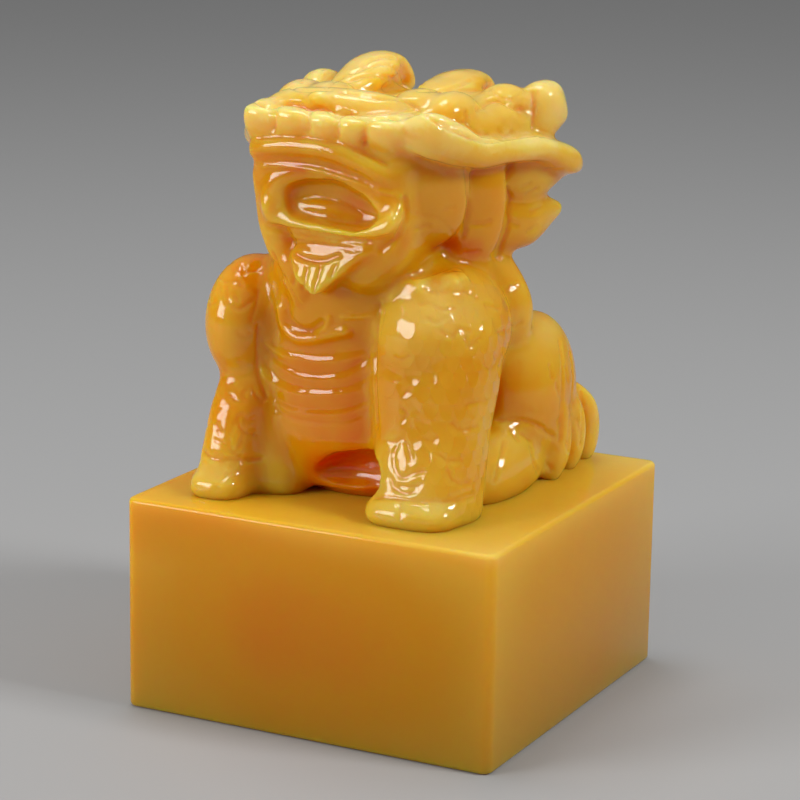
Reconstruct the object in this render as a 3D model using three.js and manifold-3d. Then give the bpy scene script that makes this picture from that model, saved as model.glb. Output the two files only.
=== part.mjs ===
// A stone seal stamp: a square block with a crouching guardian beast carved on top as its grip,
// and a raised border and key-fret cut into its underside as the printing face.
// Millimetres, +Z up, the origin at the middle of the block's underside. The beast looks along -Y.
import * as THREE from 'three';
import { mergeVertices } from 'three/addons/utils/BufferGeometryUtils.js';
import Module from 'manifold-3d';

const wasm = await Module();
wasm.setup();

// Block
const blockWidth = 50;
const blockDepth = 50;
const blockHeight = 27;
const blockCornerRadius = 1.4;
const blockBevel = 0.5;

// Printing face
const reliefDepth = 0.8;
const sealBorder = 2.6;
const fretLine = 1.7;
const fretGap = 2.3;

// Where the beast stands on the block, and how far its head is set over from its spine
const beastShift = -2;
const headShift = 1.5;

// The cut between neighbouring pieces, and how finely their meshes are kept
const seam = 0.3;
const meshTolerance = 0.08;
const meshDetail = 0.65;

// Body, measured from the block's top face and the beast's own middle plane
const torsoWidth = 27;
const torsoLength = 30;
const backHeight = 30;
const rumpHeight = 20;
const bellyHeight = 4.5;
const chestFront = -15.3;
const chestWidth = 23;
const chestShift = -1.6;
const chestDepth = 16;
const chestBands = 7;
const bandDepth = 0.35;
const neckWidth = 25;
const neckDepth = 22;

// Forelegs. The left one is the thicker.
const shoulderSpan = 38.6;
const leftShoulderWidth = 16;
const rightShoulderWidth = 10.6;
const shoulderLength = 20;
const shoulderHeight = 15.4;
const leftLegPlace = 12.3;
const rightLegPlace = 14.2;
const leftLegWidth = 12;
const rightLegWidth = 7.6;
const legLength = 9.8;
const pawLength = 12;
const pawHeight = 4.4;
const toeWidth = 2.5;

// Hind legs and tail
const haunchSpan = 41;
const haunchWidth = 13;
const haunchLength = 19.6;
const haunchHeight = 22;
const hindPawLength = 20;
const hindPawWidth = 8.6;
const hindPawHeight = 9;
const rumpLocks = 3;
const tuftWidth = 4.4;
const tailLocks = 5;
const tailSpread = 13;
const tailHeight = 20;
const tailThickness = 5;
const tailTip = 1.5;

// Head, measured from the middle of the mouth, which lies headRise above the back
const headRise = 8;
const mouthHeight = backHeight + headRise;
const faceFront = -19;
const faceWidth = 20;
const rightSideTuck = 1.5;
const browShift = -1.2;
const mouthWidth = 13;
const mouthOpening = 5.6;
const mouthDepth = 6;
const rimWidth = 2.4;
const mouthPeak = -2.8;
const lipHeight = 2;
const snoutThickness = 3.4;
const chinDrop = 16;
const beardWidth = 14;
const beardLean = -1.4;
const beardThickness = 3.4;
const jawWidth = 18.4;
const skullWidth = 25;
const skullLength = 24;
const crownWidth = 26;
const crownLength = 30;
const crownRise = 11.6;
const crownThickness = 7;
const fringeLobes = 5;
const fringeHeight = 4.7;
const browThickness = 3.2;
const browBandWidth = 4;
const browReach = 18.4;
const leftHornRise = 13.4;
const rightHornRise = 14.8;
const hornWidth = 7.6;
const leftEarRise = 12.6;
const rightEarRise = 10.6;
const earWidth = 7.4;
const cheekWidth = 7;
const foldWidth = 3.2;
const maneReach = 17;
const maneThickness = 5;
const napeLocks = 5;
const napeDrop = 17;

// One polished stone, deeper in colour in its hollows and paler on its thin edges
const stone = {
  honey: { color: 0xd89a2e, roughness: 0.22, metalness: 0 },
  amber: { color: 0xc9771a, roughness: 0.2, metalness: 0 },
  cream: { color: 0xe2bd5c, roughness: 0.18, metalness: 0 },
};

// A closed geometry as a manifold-3d solid.
function solidOf(geometry) {
  const bare = geometry.clone();
  bare.deleteAttribute('normal');
  bare.deleteAttribute('uv');
  const merged = mergeVertices(bare, 1e-4);
  return new wasm.Manifold(new wasm.Mesh({
    numProp: 3,
    vertProperties: new Float32Array(merged.attributes.position.array),
    triVerts: new Uint32Array(merged.index.array),
  }));
}

// A manifold-3d solid as a geometry with flat-shaded faces.
function geometryOf(solid) {
  const mesh = solid.getMesh();
  const geometry = new THREE.BufferGeometry();
  geometry.setAttribute('position', new THREE.BufferAttribute(mesh.vertProperties, mesh.numProp));
  geometry.setIndex(new THREE.BufferAttribute(mesh.triVerts, 1));
  geometry.computeVertexNormals();
  return geometry;
}

const join = (solids) => solids.reduce((whole, solid) => whole.add(solid));

// The value at t of a list spread evenly over 0 to 1.
function along(list, t) {
  const at = Math.min(t * (list.length - 1), list.length - 1 - 1e-9);
  const first = Math.floor(at);
  const share = at - first;
  const smooth = share * share * (3 - 2 * share);
  return list[first] + (list[first + 1] - list[first]) * smooth;
}

// A unit sphere with its share of the full number of segments.
const unitSphere = (sides, rings) => new THREE.SphereGeometry(
  1, Math.round(sides * meshDetail), Math.round(rings * meshDetail),
);

// A rounded body swept along a smooth path, with its half width and half height given along the way.
// It starts as a sphere whose rings are laid out along the path; grow makes it larger all round.
function swept(points, widths, heights, grow = 0,
  { up = [0, 0, 1], sides = 16, rings = 12, blunt = 2.6 } = {}) {
  const curve = new THREE.CatmullRomCurve3(points.map((p) => new THREE.Vector3(...p)), false,
    'centripetal');
  const geometry = unitSphere(sides, rings);
  const position = geometry.attributes.position;
  const upward = new THREE.Vector3(...up);
  const vertex = new THREE.Vector3();
  const side = new THREE.Vector3();
  const over = new THREE.Vector3();
  for (let i = 0; i < position.count; i++) {
    vertex.fromBufferAttribute(position, i);
    const t = 1 - Math.acos(THREE.MathUtils.clamp(vertex.y, -1, 1)) / Math.PI;
    const ring = Math.hypot(vertex.x, vertex.z);
    const across = ring > 1e-6 ? vertex.x / ring : 0;
    const above = ring > 1e-6 ? vertex.z / ring : 0;
    const full = ring > 1e-6 ? (1 - Math.abs(2 * t - 1) ** blunt) ** (1 / blunt) : 0;
    const tangent = curve.getTangent(t);
    side.crossVectors(tangent, upward).normalize();
    over.crossVectors(side, tangent).normalize();
    vertex.copy(curve.getPoint(t));
    vertex.addScaledVector(side, across * full * (along(widths, t) + grow));
    vertex.addScaledVector(over, above * full * (along(heights, t) + grow));
    vertex.addScaledVector(tangent, (2 * t - 1) * grow);
    position.setXYZ(i, vertex.x, vertex.y, vertex.z);
  }
  return solidOf(geometry);
}

// An ellipsoid, with any tilt in degrees about the X axis.
function ball([x, y, z], [rx, ry, rz], grow = 0, { sides = 16, rings = 10, tilt = 0 } = {}) {
  const geometry = unitSphere(sides, rings);
  geometry.rotateX(Math.PI / 2);
  geometry.scale(rx + grow, ry + grow, rz + grow);
  geometry.rotateX(THREE.MathUtils.degToRad(tilt));
  geometry.translate(x, y, z);
  return solidOf(geometry);
}

// A plate of a front-view outline (X across, Z up) whose front lies at y and which runs back by depth.
function frontPlate(outline, y, depth, bevel, grow = 0) {
  const shape = new THREE.Shape(outline.map(([x, z]) => new THREE.Vector2(x, z)));
  const geometry = new THREE.ExtrudeGeometry(shape, {
    depth: depth - 2 * bevel, bevelEnabled: true, bevelThickness: bevel + grow, bevelSize: grow,
    bevelOffset: 0, bevelSegments: 2, curveSegments: 6,
  });
  geometry.rotateX(Math.PI / 2);
  geometry.translate(0, y + depth - bevel, 0);
  return solidOf(geometry);
}

// Places in the head's own frame, moved into the body's.
const headPoint = ([x, y, z]) => [headShift + x, y, mouthHeight + z];
const headPath = (points) => points.map(headPoint);
const browPath = (points) => headPath(points.map(([x, y, z]) => [browShift + x, y, z]));

function torso(grow = 0) {
  const front = chestFront + 6;
  const middle = (top) => (top + bellyHeight) / 2;
  const half = (top) => (top - bellyHeight) / 2;
  return swept(
    [[0, front, middle(backHeight)], [0, front + torsoLength * 0.4, middle(backHeight)],
      [0, front + torsoLength * 0.75, middle(backHeight - 5)], [0, front + torsoLength, rumpHeight / 2]],
    [torsoWidth * 0.4, torsoWidth * 0.48, torsoWidth * 0.5, torsoWidth * 0.42],
    [half(backHeight), half(backHeight), half(backHeight - 4), rumpHeight / 2],
    grow, { sides: 20, rings: 14, blunt: 2.4 },
  );
}

// The front of the body, with its bands as shallow waves down an ellipsoid.
function chest(grow = 0) {
  const geometry = new THREE.SphereGeometry(1, 14, chestBands * 4);
  geometry.rotateX(Math.PI / 2);
  const position = geometry.attributes.position;
  const deep = chestDepth / 2;
  const high = (backHeight - bellyHeight) / 2;
  for (let i = 0; i < position.count; i++) {
    const wave = 1 + (bandDepth / deep) * Math.cos(position.getZ(i) * Math.PI * chestBands);
    position.setXYZ(
      i,
      position.getX(i) * (chestWidth / 2 + grow) * wave + chestShift,
      position.getY(i) * (deep + grow) * wave + chestFront + deep,
      position.getZ(i) * (high + grow) + bellyHeight + high,
    );
  }
  return solidOf(geometry);
}

// The belly comes down to the block behind the hollow between the forelegs.
function belly(grow = 0) {
  return ball([0, chestFront + 14, bellyHeight * 0.6], [torsoWidth * 0.4, 9.4, bellyHeight * 1.4], grow,
    { sides: 18, rings: 10 });
}

function neck(grow = 0) {
  return swept(
    [[0, 1, backHeight - 9], [headShift * 0.5, 0.4, backHeight - 1], [headShift, -1, mouthHeight - 3]],
    [neckWidth * 0.5, neckWidth * 0.5, neckWidth * 0.48],
    [neckDepth * 0.5, neckDepth * 0.5, neckDepth * 0.5], grow,
    { up: [0, -1, 0], sides: 18, rings: 8, blunt: 4 },
  );
}

const shoulderWidth = (sign) => (sign > 0 ? leftShoulderWidth : rightShoulderWidth);
const legWidth = (sign) => (sign > 0 ? leftLegWidth : rightLegWidth);
const legPlace = (sign) => sign * (sign > 0 ? leftLegPlace : rightLegPlace);

function shoulder(sign, grow = 0) {
  const width = shoulderWidth(sign);
  const length = shoulderLength * (sign > 0 ? 1 : 0.8);
  return ball(
    [sign * (shoulderSpan - width) / 2, chestFront - 2 + length / 2,
      backHeight - 1.4 - shoulderHeight / 2],
    [width / 2, length / 2, shoulderHeight / 2], grow, { sides: 18, rings: 12 },
  );
}

// A foreleg slants forwards and outwards from the shoulder to its paw.
function foreleg(sign, grow = 0) {
  const foot = legPlace(sign);
  const elbow = foot + (sign > 0 ? 0.2 : 1.2);
  const top = backHeight - shoulderHeight;
  const half = legWidth(sign) / 2;
  const deep = (legLength * legWidth(sign)) / leftLegWidth;
  return swept(
    [[elbow, chestFront + 4.6, top + 4], [elbow, chestFront + 3.6, top * 0.75],
      [foot, chestFront + 2.2, top * 0.4], [foot, chestFront + 1.6, -1]],
    [half * 0.94, half, half * 0.94, half * 1.04],
    [deep * 0.66, deep * 0.56, deep * 0.48, deep * 0.56],
    grow, { up: [0, -1, 0], sides: 16, rings: 10, blunt: 6 },
  );
}

// A paw is a rounded block with four toes that only just stand out along its front.
function forepaw(sign, grow = 0) {
  const x = legPlace(sign);
  const front = chestFront - 5.2;
  const half = legWidth(sign) / 2;
  const pad = swept(
    [[x, front + 0.6, pawHeight * 0.36], [x, front + pawLength * 0.5, pawHeight * 0.4],
      [x, front + pawLength, pawHeight * 0.3]],
    [half * 1.02, half * 1.08, half * 0.9], [pawHeight * 0.62, pawHeight * 0.66, pawHeight * 0.5],
    grow, { sides: 18, rings: 10, blunt: 3.6 },
  );
  const toes = [-1.5, -0.5, 0.5, 1.5].map((place) => ball(
    [x + place * half * 0.48, front + 2.2 + 0.5 * Math.abs(place), pawHeight * 0.34],
    [half * 0.3, 2.3, pawHeight * 0.5], grow, { sides: 12, rings: 8 },
  ));
  return join([pad, ...toes]);
}

function haunch(sign, grow = 0) {
  const x = sign * (haunchSpan - haunchWidth) / 2;
  const rear = haunchLength - 0.6;
  return swept(
    [[x - sign, 0, haunchHeight * 0.5], [x, haunchLength * 0.4, haunchHeight * 0.5],
      [x - sign * 0.4, rear, haunchHeight * 0.44]],
    [haunchWidth * 0.4, haunchWidth * 0.5, haunchWidth * 0.48],
    [haunchHeight * 0.46, haunchHeight * 0.52, haunchHeight * 0.54],
    grow, { sides: 18, rings: 12, blunt: 2.8 },
  );
}

// A hind paw lies along the block beside the belly, its toes behind the foreleg.
function hindPaw(sign, grow = 0) {
  const x = sign * (haunchSpan / 2 - hindPawWidth / 2 - 1);
  const rear = haunchLength / 2 + 1;
  const front = rear - hindPawLength;
  const foot = swept(
    [[x, rear, hindPawHeight * 0.2], [x, rear - hindPawLength * 0.5, hindPawHeight * 0.4],
      [x, front + 1, hindPawHeight * 0.36]],
    [hindPawWidth * 0.46, hindPawWidth * 0.5, hindPawWidth * 0.46],
    [hindPawHeight * 0.36, hindPawHeight * 0.58, hindPawHeight * 0.5], grow,
    { sides: 14, rings: 10, blunt: 3 },
  );
  const toes = [-1, 0, 1].map((place) => ball(
    [x + place * toeWidth, front + 1.4 + 0.6 * Math.abs(place), hindPawHeight * 0.24],
    [toeWidth * 0.6, 2.2, hindPawHeight * 0.28], grow, { sides: 10, rings: 8 },
  ));
  return join([foot, ...toes]);
}

// A pointed lock of hair lies behind the elbow.
function elbowTuft(sign, grow = 0) {
  const x = sign * (shoulderSpan / 2 - 2.4);
  const top = backHeight - 2;
  const rear = chestFront + shoulderLength - 2;
  return swept(
    [[x - sign, rear - 6, top], [x + sign * 0.4, rear - 4.4, top - 5],
      [x - sign * 0.4, rear - 6, top - 12]],
    [1.9, 2.3, 0.8], [3, 3.2, 0.8], grow, { sides: 10, rings: 8, up: [sign, 0, 0] },
  );
}

// Three locks hang behind the haunch, each one further back and the last one broad where it stands.
function rumpTuft(sign, lock, grow = 0) {
  const x = sign * (haunchSpan / 2 - 1.9 - lock * 0.5);
  const y = haunchLength / 2 - 0.4 + lock * 4.7;
  const top = haunchHeight * (0.62 - lock * 0.06);
  const half = tuftWidth / 2;
  return swept(
    [[x - sign * 0.6, y - 1.6, top], [x + sign * 0.2, y + lock * 0.9, top * 0.62],
      [x, y + 0.6 + lock, top * 0.3], [x - sign * 0.2, y + 0.4 + lock, -0.6]],
    [half * 0.7, half * 0.9, half, half], [half * 0.9, half, half * 1.1, half * (0.9 + lock * 0.15)],
    grow, { sides: 10, rings: 9, up: [sign, 0, 0] },
  );
}

// The tail is a fan of locks that lies against the rump, each lock curling over at its tip.
function tail(grow = 0) {
  const root = chestFront + torsoLength + 5;
  const locks = [];
  for (let i = 0; i < tailLocks; i++) {
    const place = i - (tailLocks - 1) / 2;
    const outward = place * tailSpread / (tailLocks - 1);
    const reach = tailHeight - 1.5 * Math.abs(place);
    locks.push(swept(
      [[outward * 0.2, root - 2, 1.6], [outward * 0.5, root + 1, tailHeight * 0.24],
        [outward, root + 1.4 - 0.5 * Math.abs(place), reach * 0.66],
        [outward * 1.3, root + 0.2 - Math.abs(place), reach]],
      [2, 2.6, 2.8, tailTip], [2, 2.8, tailThickness * 0.5, tailTip],
      grow, { up: [0, 1, 0.1], sides: 10, rings: 9, blunt: 3 },
    ));
  }
  return join(locks);
}

function skull(grow = 0) {
  const front = faceFront + 4;
  return swept(
    headPath([[0, front, 0], [0, front + skullLength * 0.5, 0.4], [0, front + skullLength, 1.6]]),
    [faceWidth * 0.46, skullWidth * 0.5, skullWidth * 0.48], [7, 9, 8],
    grow, { sides: 20, rings: 12, blunt: 3.2 },
  );
}

function mouthHollow(grow = 0) {
  return ball(headPoint([0.2, faceFront, -0.1]), [mouthWidth / 2, mouthDepth, mouthOpening / 2], grow,
    { sides: 20, rings: 12 });
}

// The face is a shield that narrows to the chin, with the mouth hollowed out of it.
function muzzle(grow = 0) {
  const half = faceWidth / 2;
  const foot = -mouthOpening / 2 - lipHeight - 0.6;
  const outline = [
    [-half * 0.74, foot], [half * 0.74, foot], [half * 0.94, 0], [half, 4.2],
    [half * 0.94, crownRise - fringeHeight],
    [-half * 0.94, crownRise - fringeHeight], [-half, 4.2], [-half * 0.94, 0],
  ].map(([x, z]) => [headShift + x, mouthHeight + z]);
  return frontPlate(outline, faceFront + 0.9, 10, 1.2, grow).subtract(mouthHollow(-grow));
}

// The roll above the mouth, under the fringe.
function snoutRoll(grow = 0) {
  const half = faceWidth / 2;
  const top = crownRise - fringeHeight - 0.6;
  const r = snoutThickness / 2;
  return swept(
    browPath([[-half - 0.6, faceFront + 4, top - 1.8], [-half * 0.86, faceFront + 1.4, top - 0.6],
      [mouthPeak, faceFront + 0.4, top],
      [half * 0.34, faceFront + 0.4, top - 0.3], [half * 0.76, faceFront + 1.4, top - 1.8],
      [half, faceFront + 4, top - 3.4]]),
    [r * 0.8, r * 1.05, r, r * 0.8], [r * 0.8, r * 1.05, r, r * 0.8], grow,
    { up: [0, -1, 0], sides: 12, rings: 18, blunt: 5 },
  );
}

// The rim stands round the mouth's top and sides and widens to a flap at each corner.
function mouthRim(grow = 0) {
  const half = mouthWidth / 2 + rimWidth * 0.42;
  const rise = mouthOpening / 2 + rimWidth * 0.36;
  const r = rimWidth / 2;
  return swept(
    headPath([[-half, faceFront + 0.9, -mouthOpening * 0.42], [-half * 1.02, faceFront + 0.6, 0.6],
      [-half * 0.74, faceFront + 0.4, rise * 0.86],
      [mouthPeak, faceFront + 0.2, rise], [half * 0.2, faceFront + 0.2, rise * 0.86],
      [half * 0.76, faceFront + 0.4, rise * 0.42],
      [half * 1.06, faceFront + 0.5, -0.4], [half, faceFront + 0.7, -mouthOpening * 0.5]]),
    [r * 0.9, r, r * 0.8, r * 0.8, r * 1.1, r * 1.4, r * 0.9], [1.1, 1.2, 1.3, 1.3, 1.2, 1.2, 1],
    grow, { up: [0, -1, 0], sides: 10, rings: 22, blunt: 6 },
  );
}

// The lower lip is a ledge with a small fang near each end.
function lowerLip(grow = 0) {
  const half = faceWidth / 2 - 0.8;
  const middle = -mouthOpening / 2 - lipHeight * 0.42;
  const r = lipHeight / 2;
  const ledge = swept(
    headPath([[-half, faceFront + 1.6, middle + 0.9], [-half * 0.7, faceFront, middle + 0.1],
      [0, faceFront - 0.5, middle],
      [half * 0.7, faceFront, middle - 0.1], [half, faceFront + 1.6, middle + 0.7]]),
    [r * 0.9, r, r * 0.9], [1.2, 1.5, 1.2], grow, { up: [0, -1, 0], sides: 10, rings: 16, blunt: 6 },
  );
  const fangs = [-half * 0.84, half * 0.48].map((x) => ball(
    headPoint([x, faceFront + 0.5, middle + r]), [0.55, 0.7, 0.9], grow, { sides: 8, rings: 6 },
  ));
  return join([ledge, ...fangs]);
}

function tongue(grow = 0) {
  return ball(headPoint([0.2, faceFront + mouthDepth - 0.6, -mouthOpening * 0.16]),
    [mouthWidth * 0.4, mouthDepth * 0.55, mouthOpening * 0.26], grow, { sides: 16, rings: 8 });
}

// The jaw runs back under the mouth to the neck, and the beard hangs from its front as a pointed plate.
function lowerJaw(grow = 0) {
  return swept(
    headPath([[0, faceFront + 2.4, -7], [0, faceFront + 8, -7.6], [0, faceFront + 15, -6.6]]),
    [jawWidth * 0.44, jawWidth * 0.54, jawWidth * 0.62], [3.8, 5.4, 6.2],
    grow, { sides: 16, rings: 10, blunt: 3 },
  );
}

function beard(grow = 0) {
  const half = beardWidth / 2;
  const top = -mouthOpening / 2 - lipHeight;
  const outline = [
    [beardLean, -chinDrop], [beardLean + 0.9, -chinDrop + 0.5], [half * 0.36, -chinDrop * 0.66],
    [half * 0.88, top - 1.8], [half * 0.9, top - 0.4],
    [-half * 0.9, top - 0.4], [-half * 0.96, top - 1.8], [-half * 0.7, -chinDrop * 0.6],
    [beardLean - 0.9, -chinDrop + 0.5],
  ].map(([x, z]) => [headShift + beardLean * 0.6 + x, mouthHeight + z]);
  return frontPlate(outline, faceFront - 0.2, beardThickness, 0.6, grow);
}

// A cheek is a smooth wall from the corner of the mouth back to the first fold of the mane.
function cheek(sign, grow = 0) {
  const x = faceWidth / 2 - (sign > 0 ? 0 : rightSideTuck * 0.8);
  return swept(
    headPath([[sign * (x + 0.6), -13.6, 7], [sign * (x + 0.4), -13.2, 1], [sign * (x - 0.9), -12.8, -3.4],
      [sign * (x - 3.6), -12.2, -7]]),
    [4.6, 5.4, 5.4, 4.6], [2.6, cheekWidth * 0.38, cheekWidth * 0.38, 2], grow,
    { up: [sign, 0, 0], sides: 16, rings: 10, blunt: 4.4 },
  );
}

// The crown is a low dome over the skull.
function crown(grow = 0) {
  const middle = crownRise - crownThickness / 2;
  return swept(
    headPath([[0, faceFront + 2, middle - 0.4], [0, faceFront + crownLength * 0.5, middle],
      [0, faceFront + crownLength, middle - 0.6]]),
    [faceWidth * 0.42, crownWidth * 0.47, crownWidth * 0.5, crownWidth * 0.44],
    [crownThickness * 0.5, crownThickness * 0.5, crownThickness * 0.5],
    grow, { sides: 22, rings: 14, blunt: 3.4 },
  );
}

// Rounded lobes hang side by side across the forehead from a roll that fills the grooves between them.
function browFringe(grow = 0) {
  const half = faceWidth / 2;
  const pitch = (faceWidth + 0.8) / fringeLobes;
  const top = crownRise - 0.7;
  const front = (x) => faceFront + 1 + 1.1 * (x / half) ** 2;
  const lobes = [];
  for (let i = 0; i < fringeLobes; i++) {
    const x = (i - (fringeLobes - 1) / 2) * pitch;
    lobes.push(swept(
      browPath([[x, front(x) + 0.6, top], [x, front(x), top - fringeHeight * 0.5],
        [x, front(x) + 0.4, top - fringeHeight]]),
      [pitch * 0.5, pitch * 0.54, pitch * 0.5], [1.7, 2, 1.7], grow,
      { up: [0, -1, 0], sides: 14, rings: 8, blunt: 3.2 },
    ));
  }
  const middle = top - fringeHeight / 2;
  const ends = [-half, -half * 0.5, 0, half * 0.5, half];
  const roll = swept(
    browPath(ends.map((x) => [x, front(x) + 1.4, middle])),
    [fringeHeight * 0.46, fringeHeight * 0.46], [2.3, 2.3], grow,
    { up: [0, -1, 0], sides: 12, rings: 10, blunt: 6 },
  );
  return join([roll, ...lobes]);
}

// The roll behind the fringe, from which the eyes look up.
function browRoll(grow = 0) {
  const half = faceWidth / 2;
  const z = crownRise - browThickness * 0.2;
  return swept(
    browPath([[-half * 0.98, faceFront + 4, z - 1.2], [-half * 0.5, faceFront + 3, z],
      [half * 0.1, faceFront + 2.8, z], [half * 0.66, faceFront + 3.4, z - 0.2]]),
    [2.2, 2.6, 2.6, 2],
    [browThickness * 0.5, browThickness * 0.56, browThickness * 0.56, browThickness * 0.5],
    grow, { sides: 12, rings: 14, blunt: 3.4 },
  );
}

// A brow band leaves the end of the fringe, dips along the side of the head and ends in a free tip.
function browBand(sign, grow = 0) {
  const half = faceWidth / 2;
  const tuck = sign > 0 ? 0 : rightSideTuck;
  const w = browBandWidth / 2;
  return swept(
    headPath([[sign * (half - 2 - tuck), faceFront + 1.8, crownRise - 0.8],
      [sign * (half + 1.2 - tuck), faceFront + 2.6, crownRise - 2.2],
      [sign * (half + 3 - tuck), -13.2, crownRise - 4.4], [sign * (half + 4.4), -9, crownRise - 6.2],
      [sign * (half + 5.6), -3, crownRise - 6.2],
      [sign * (browReach - 1.2), 3, crownRise - 6.6], [sign * browReach, 8.4, crownRise - 8.6],
      [sign * browReach, 13.2, crownRise - 11]]),
    [1.6, 1.8, 1.9, 1.9, 1.9, 1.9, 1.9, 1.5],
    [w * 1.1, w * 1.15, w, w * 0.92, w * 0.8, w * 0.84, w, w * 0.9],
    grow, { sides: 12, rings: 22, blunt: 3.6 },
  );
}

// Each horn lies half sunk along the crown from front to rear and ends in a steep blunt tip.
function horn(sign, grow = 0) {
  const x = sign * 5.6;
  const rise = (sign > 0 ? leftHornRise : rightHornRise) - crownRise;
  const base = crownRise - 1;
  return swept(
    headPath([[x + sign * 0.6, -11, base - 1], [x, -3, base], [x, 4, base], [x, 11, base]]),
    [hornWidth * 0.4, hornWidth * 0.48, hornWidth * 0.52, hornWidth * 0.4],
    [1.6, rise * 0.8 + 0.6, rise + 0.8, rise + 1.2], grow, { sides: 14, rings: 14, blunt: 3.4 },
  );
}

// An ear is a rounded leaf that stands up at the rear corner of the crown.
function ear(sign, grow = 0) {
  const rise = (sign > 0 ? leftEarRise : rightEarRise);
  const r = earWidth / 2;
  return swept(
    headPath([[sign * 12.8, 5, rise - 9], [sign * 14.4, 7.6, rise - 6], [sign * 15.4, 9.2, rise - 3],
      [sign * 15.8, 10, rise]]),
    [r * 0.7, r * 0.84, r * 0.84, r * 0.64], [r * 0.8, r, r * 0.96, r * 0.8], grow,
    { up: [0, -1, 0], sides: 12, rings: 10, blunt: 2.8 },
  );
}

// A short curl sits between the crown and the brow band, in front of the ear.
function crownCurl(sign, grow = 0) {
  const x = faceWidth / 2;
  return swept(
    headPath([[sign * (x + 0.6), -6.4, crownRise - 2.6], [sign * (x + 2), 0, crownRise - 1.6],
      [sign * (x + 3), 6.6, crownRise - 1.4]]),
    [2, 2.7, 2.2], [1.6, 2.3, 2.2], grow, { sides: 12, rings: 10, blunt: 2.8 },
  );
}

function eye(sign, grow = 0) {
  return ball(headPoint([browShift + sign * 3.2, faceFront + 2.6, crownRise + browThickness * 0.2]),
    [1.3, 1.3, 1], grow, { sides: 12, rings: 8 });
}

// Upright folds stand in the side of the head behind the cheek.
function maneFold(sign, place, grow = 0) {
  const x = skullWidth / 2 + 0.2 + place * 1.2;
  const y = -5.4 + place * 4.6;
  const r = foldWidth / 2;
  return swept(
    headPath([[sign * (x - 0.4), y, 5], [sign * x, y + 0.4, 0], [sign * (x - 0.6), y + 0.2, -4.6],
      [sign * (x - 2.6), y - 0.6, -9.2]]),
    [r * 1.5, r * 1.7, r * 1.6, r * 1.3], [r * 0.8, r, r * 0.9, r * 0.7], grow,
    { up: [sign, 0, 0], sides: 12, rings: 10, blunt: 3 },
  );
}

// The side mane fills the rear corner of the head in two locks, each with a rounded tip.
function sideMane(sign, grow = 0) {
  const r = maneThickness / 2;
  const lower = swept(
    headPath([[sign * 11.6, -1, -4.6], [sign * 14, 5.4, -4], [sign * (maneReach - 0.6), 12.4, -3.4]]),
    [r * 1.3, r * 1.4, r * 0.6], [5, 4, 1.5], grow, { sides: 12, rings: 10 },
  );
  const upper = swept(
    headPath([[sign * 12, -1.4, 2], [sign * 14.8, 5.4, 1.6], [sign * maneReach, 12.6, 1]]),
    [r * 1.3, r * 1.4, r * 0.8], [5, 4, 1.7], grow, { sides: 12, rings: 10 },
  );
  return [upper, lower];
}

// Locks fan over the nape and lie against the back of the neck, the middle one longest.
function napeLock(index, grow = 0) {
  const place = index - (napeLocks - 1) / 2;
  const x = place * crownWidth * 0.19;
  const drop = napeDrop - 1.8 * Math.abs(place);
  const rear = faceFront + crownLength + 2.2 - 0.6 * place * place;
  return swept(
    headPath([[x * 0.9, rear - 8, 5], [x, rear - 1.4, 2.4], [x, rear - 1.8, 2 - drop * 0.5],
      [x * 0.84, rear - 0.6, 2 - drop]]),
    [2.7, 3.3, 3.1, 1.4], [3, 3.4, 3.4, 1.8], grow, { up: [0, 1, 0.2], sides: 12, rings: 11 },
  );
}

// The block, its vertical edges rounded and its rims bevelled, with the printing face cut into it.
function sealBlock() {
  const x = blockWidth / 2 - blockBevel;
  const y = blockDepth / 2 - blockBevel;
  const r = blockCornerRadius;
  const shape = new THREE.Shape();
  shape.moveTo(-x + r, -y);
  shape.lineTo(x - r, -y);
  shape.absarc(x - r, -y + r, r, -Math.PI / 2, 0);
  shape.lineTo(x, y - r);
  shape.absarc(x - r, y - r, r, 0, Math.PI / 2);
  shape.lineTo(-x + r, y);
  shape.absarc(-x + r, y - r, r, Math.PI / 2, Math.PI);
  shape.lineTo(-x, -y + r);
  shape.absarc(-x + r, -y + r, r, Math.PI, Math.PI * 1.5);
  const geometry = new THREE.ExtrudeGeometry(shape, {
    depth: blockHeight - 2 * blockBevel, bevelEnabled: true, bevelThickness: blockBevel,
    bevelSize: blockBevel,
    bevelSegments: 2, curveSegments: 5,
  });
  geometry.translate(0, 0, blockBevel);
  return solidOf(geometry).subtract(sealRecess());
}

// What is cut away round the raised lines: the panel inside the border, less four square spirals
// that all start from the border, one in each quarter.
function sealRecess() {
  const panelX = blockWidth / 2 - sealBorder;
  const panelY = blockDepth / 2 - sealBorder;
  const bar = (x0, y0, x1, y1) => {
    const box = new THREE.BoxGeometry(Math.abs(x1 - x0), Math.abs(y1 - y0), reliefDepth * 2);
    box.translate((x0 + x1) / 2, (y0 + y1) / 2, 0);
    return solidOf(box);
  };
  const lines = [];
  const pitch = fretLine + fretGap;
  for (const sx of [-1, 1]) {
    for (const sy of [-1, 1]) {
      let [left, right, low, high] = [fretGap / 2, panelX - fretGap, fretGap / 2, panelY - fretGap];
      const stroke = (x0, y0, x1, y1) => lines.push(bar(sx * x0, sy * y0, sx * x1, sy * y1));
      stroke(left, high - fretLine, left + fretLine, panelY + 1);
      while (right - left > 2 * fretLine && high - low > 2 * fretLine) {
        stroke(left, high - fretLine, right, high);
        stroke(right - fretLine, low, right, high);
        stroke(left, low, right, low + fretLine);
        high -= pitch;
        stroke(left, low, left + fretLine, high);
        right -= pitch;
        low += pitch;
        stroke(left, high - fretLine, right, high);
        left += pitch;
      }
    }
  }
  return bar(-panelX, -panelY, panelX, panelY).subtract(join(lines));
}

// Everything above the block's top face.
const floor = (() => {
  const box = new THREE.BoxGeometry(blockWidth * 2, blockDepth * 2, blockHeight * 2);
  box.translate(0, 0, -blockHeight);
  return solidOf(box);
})();

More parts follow.
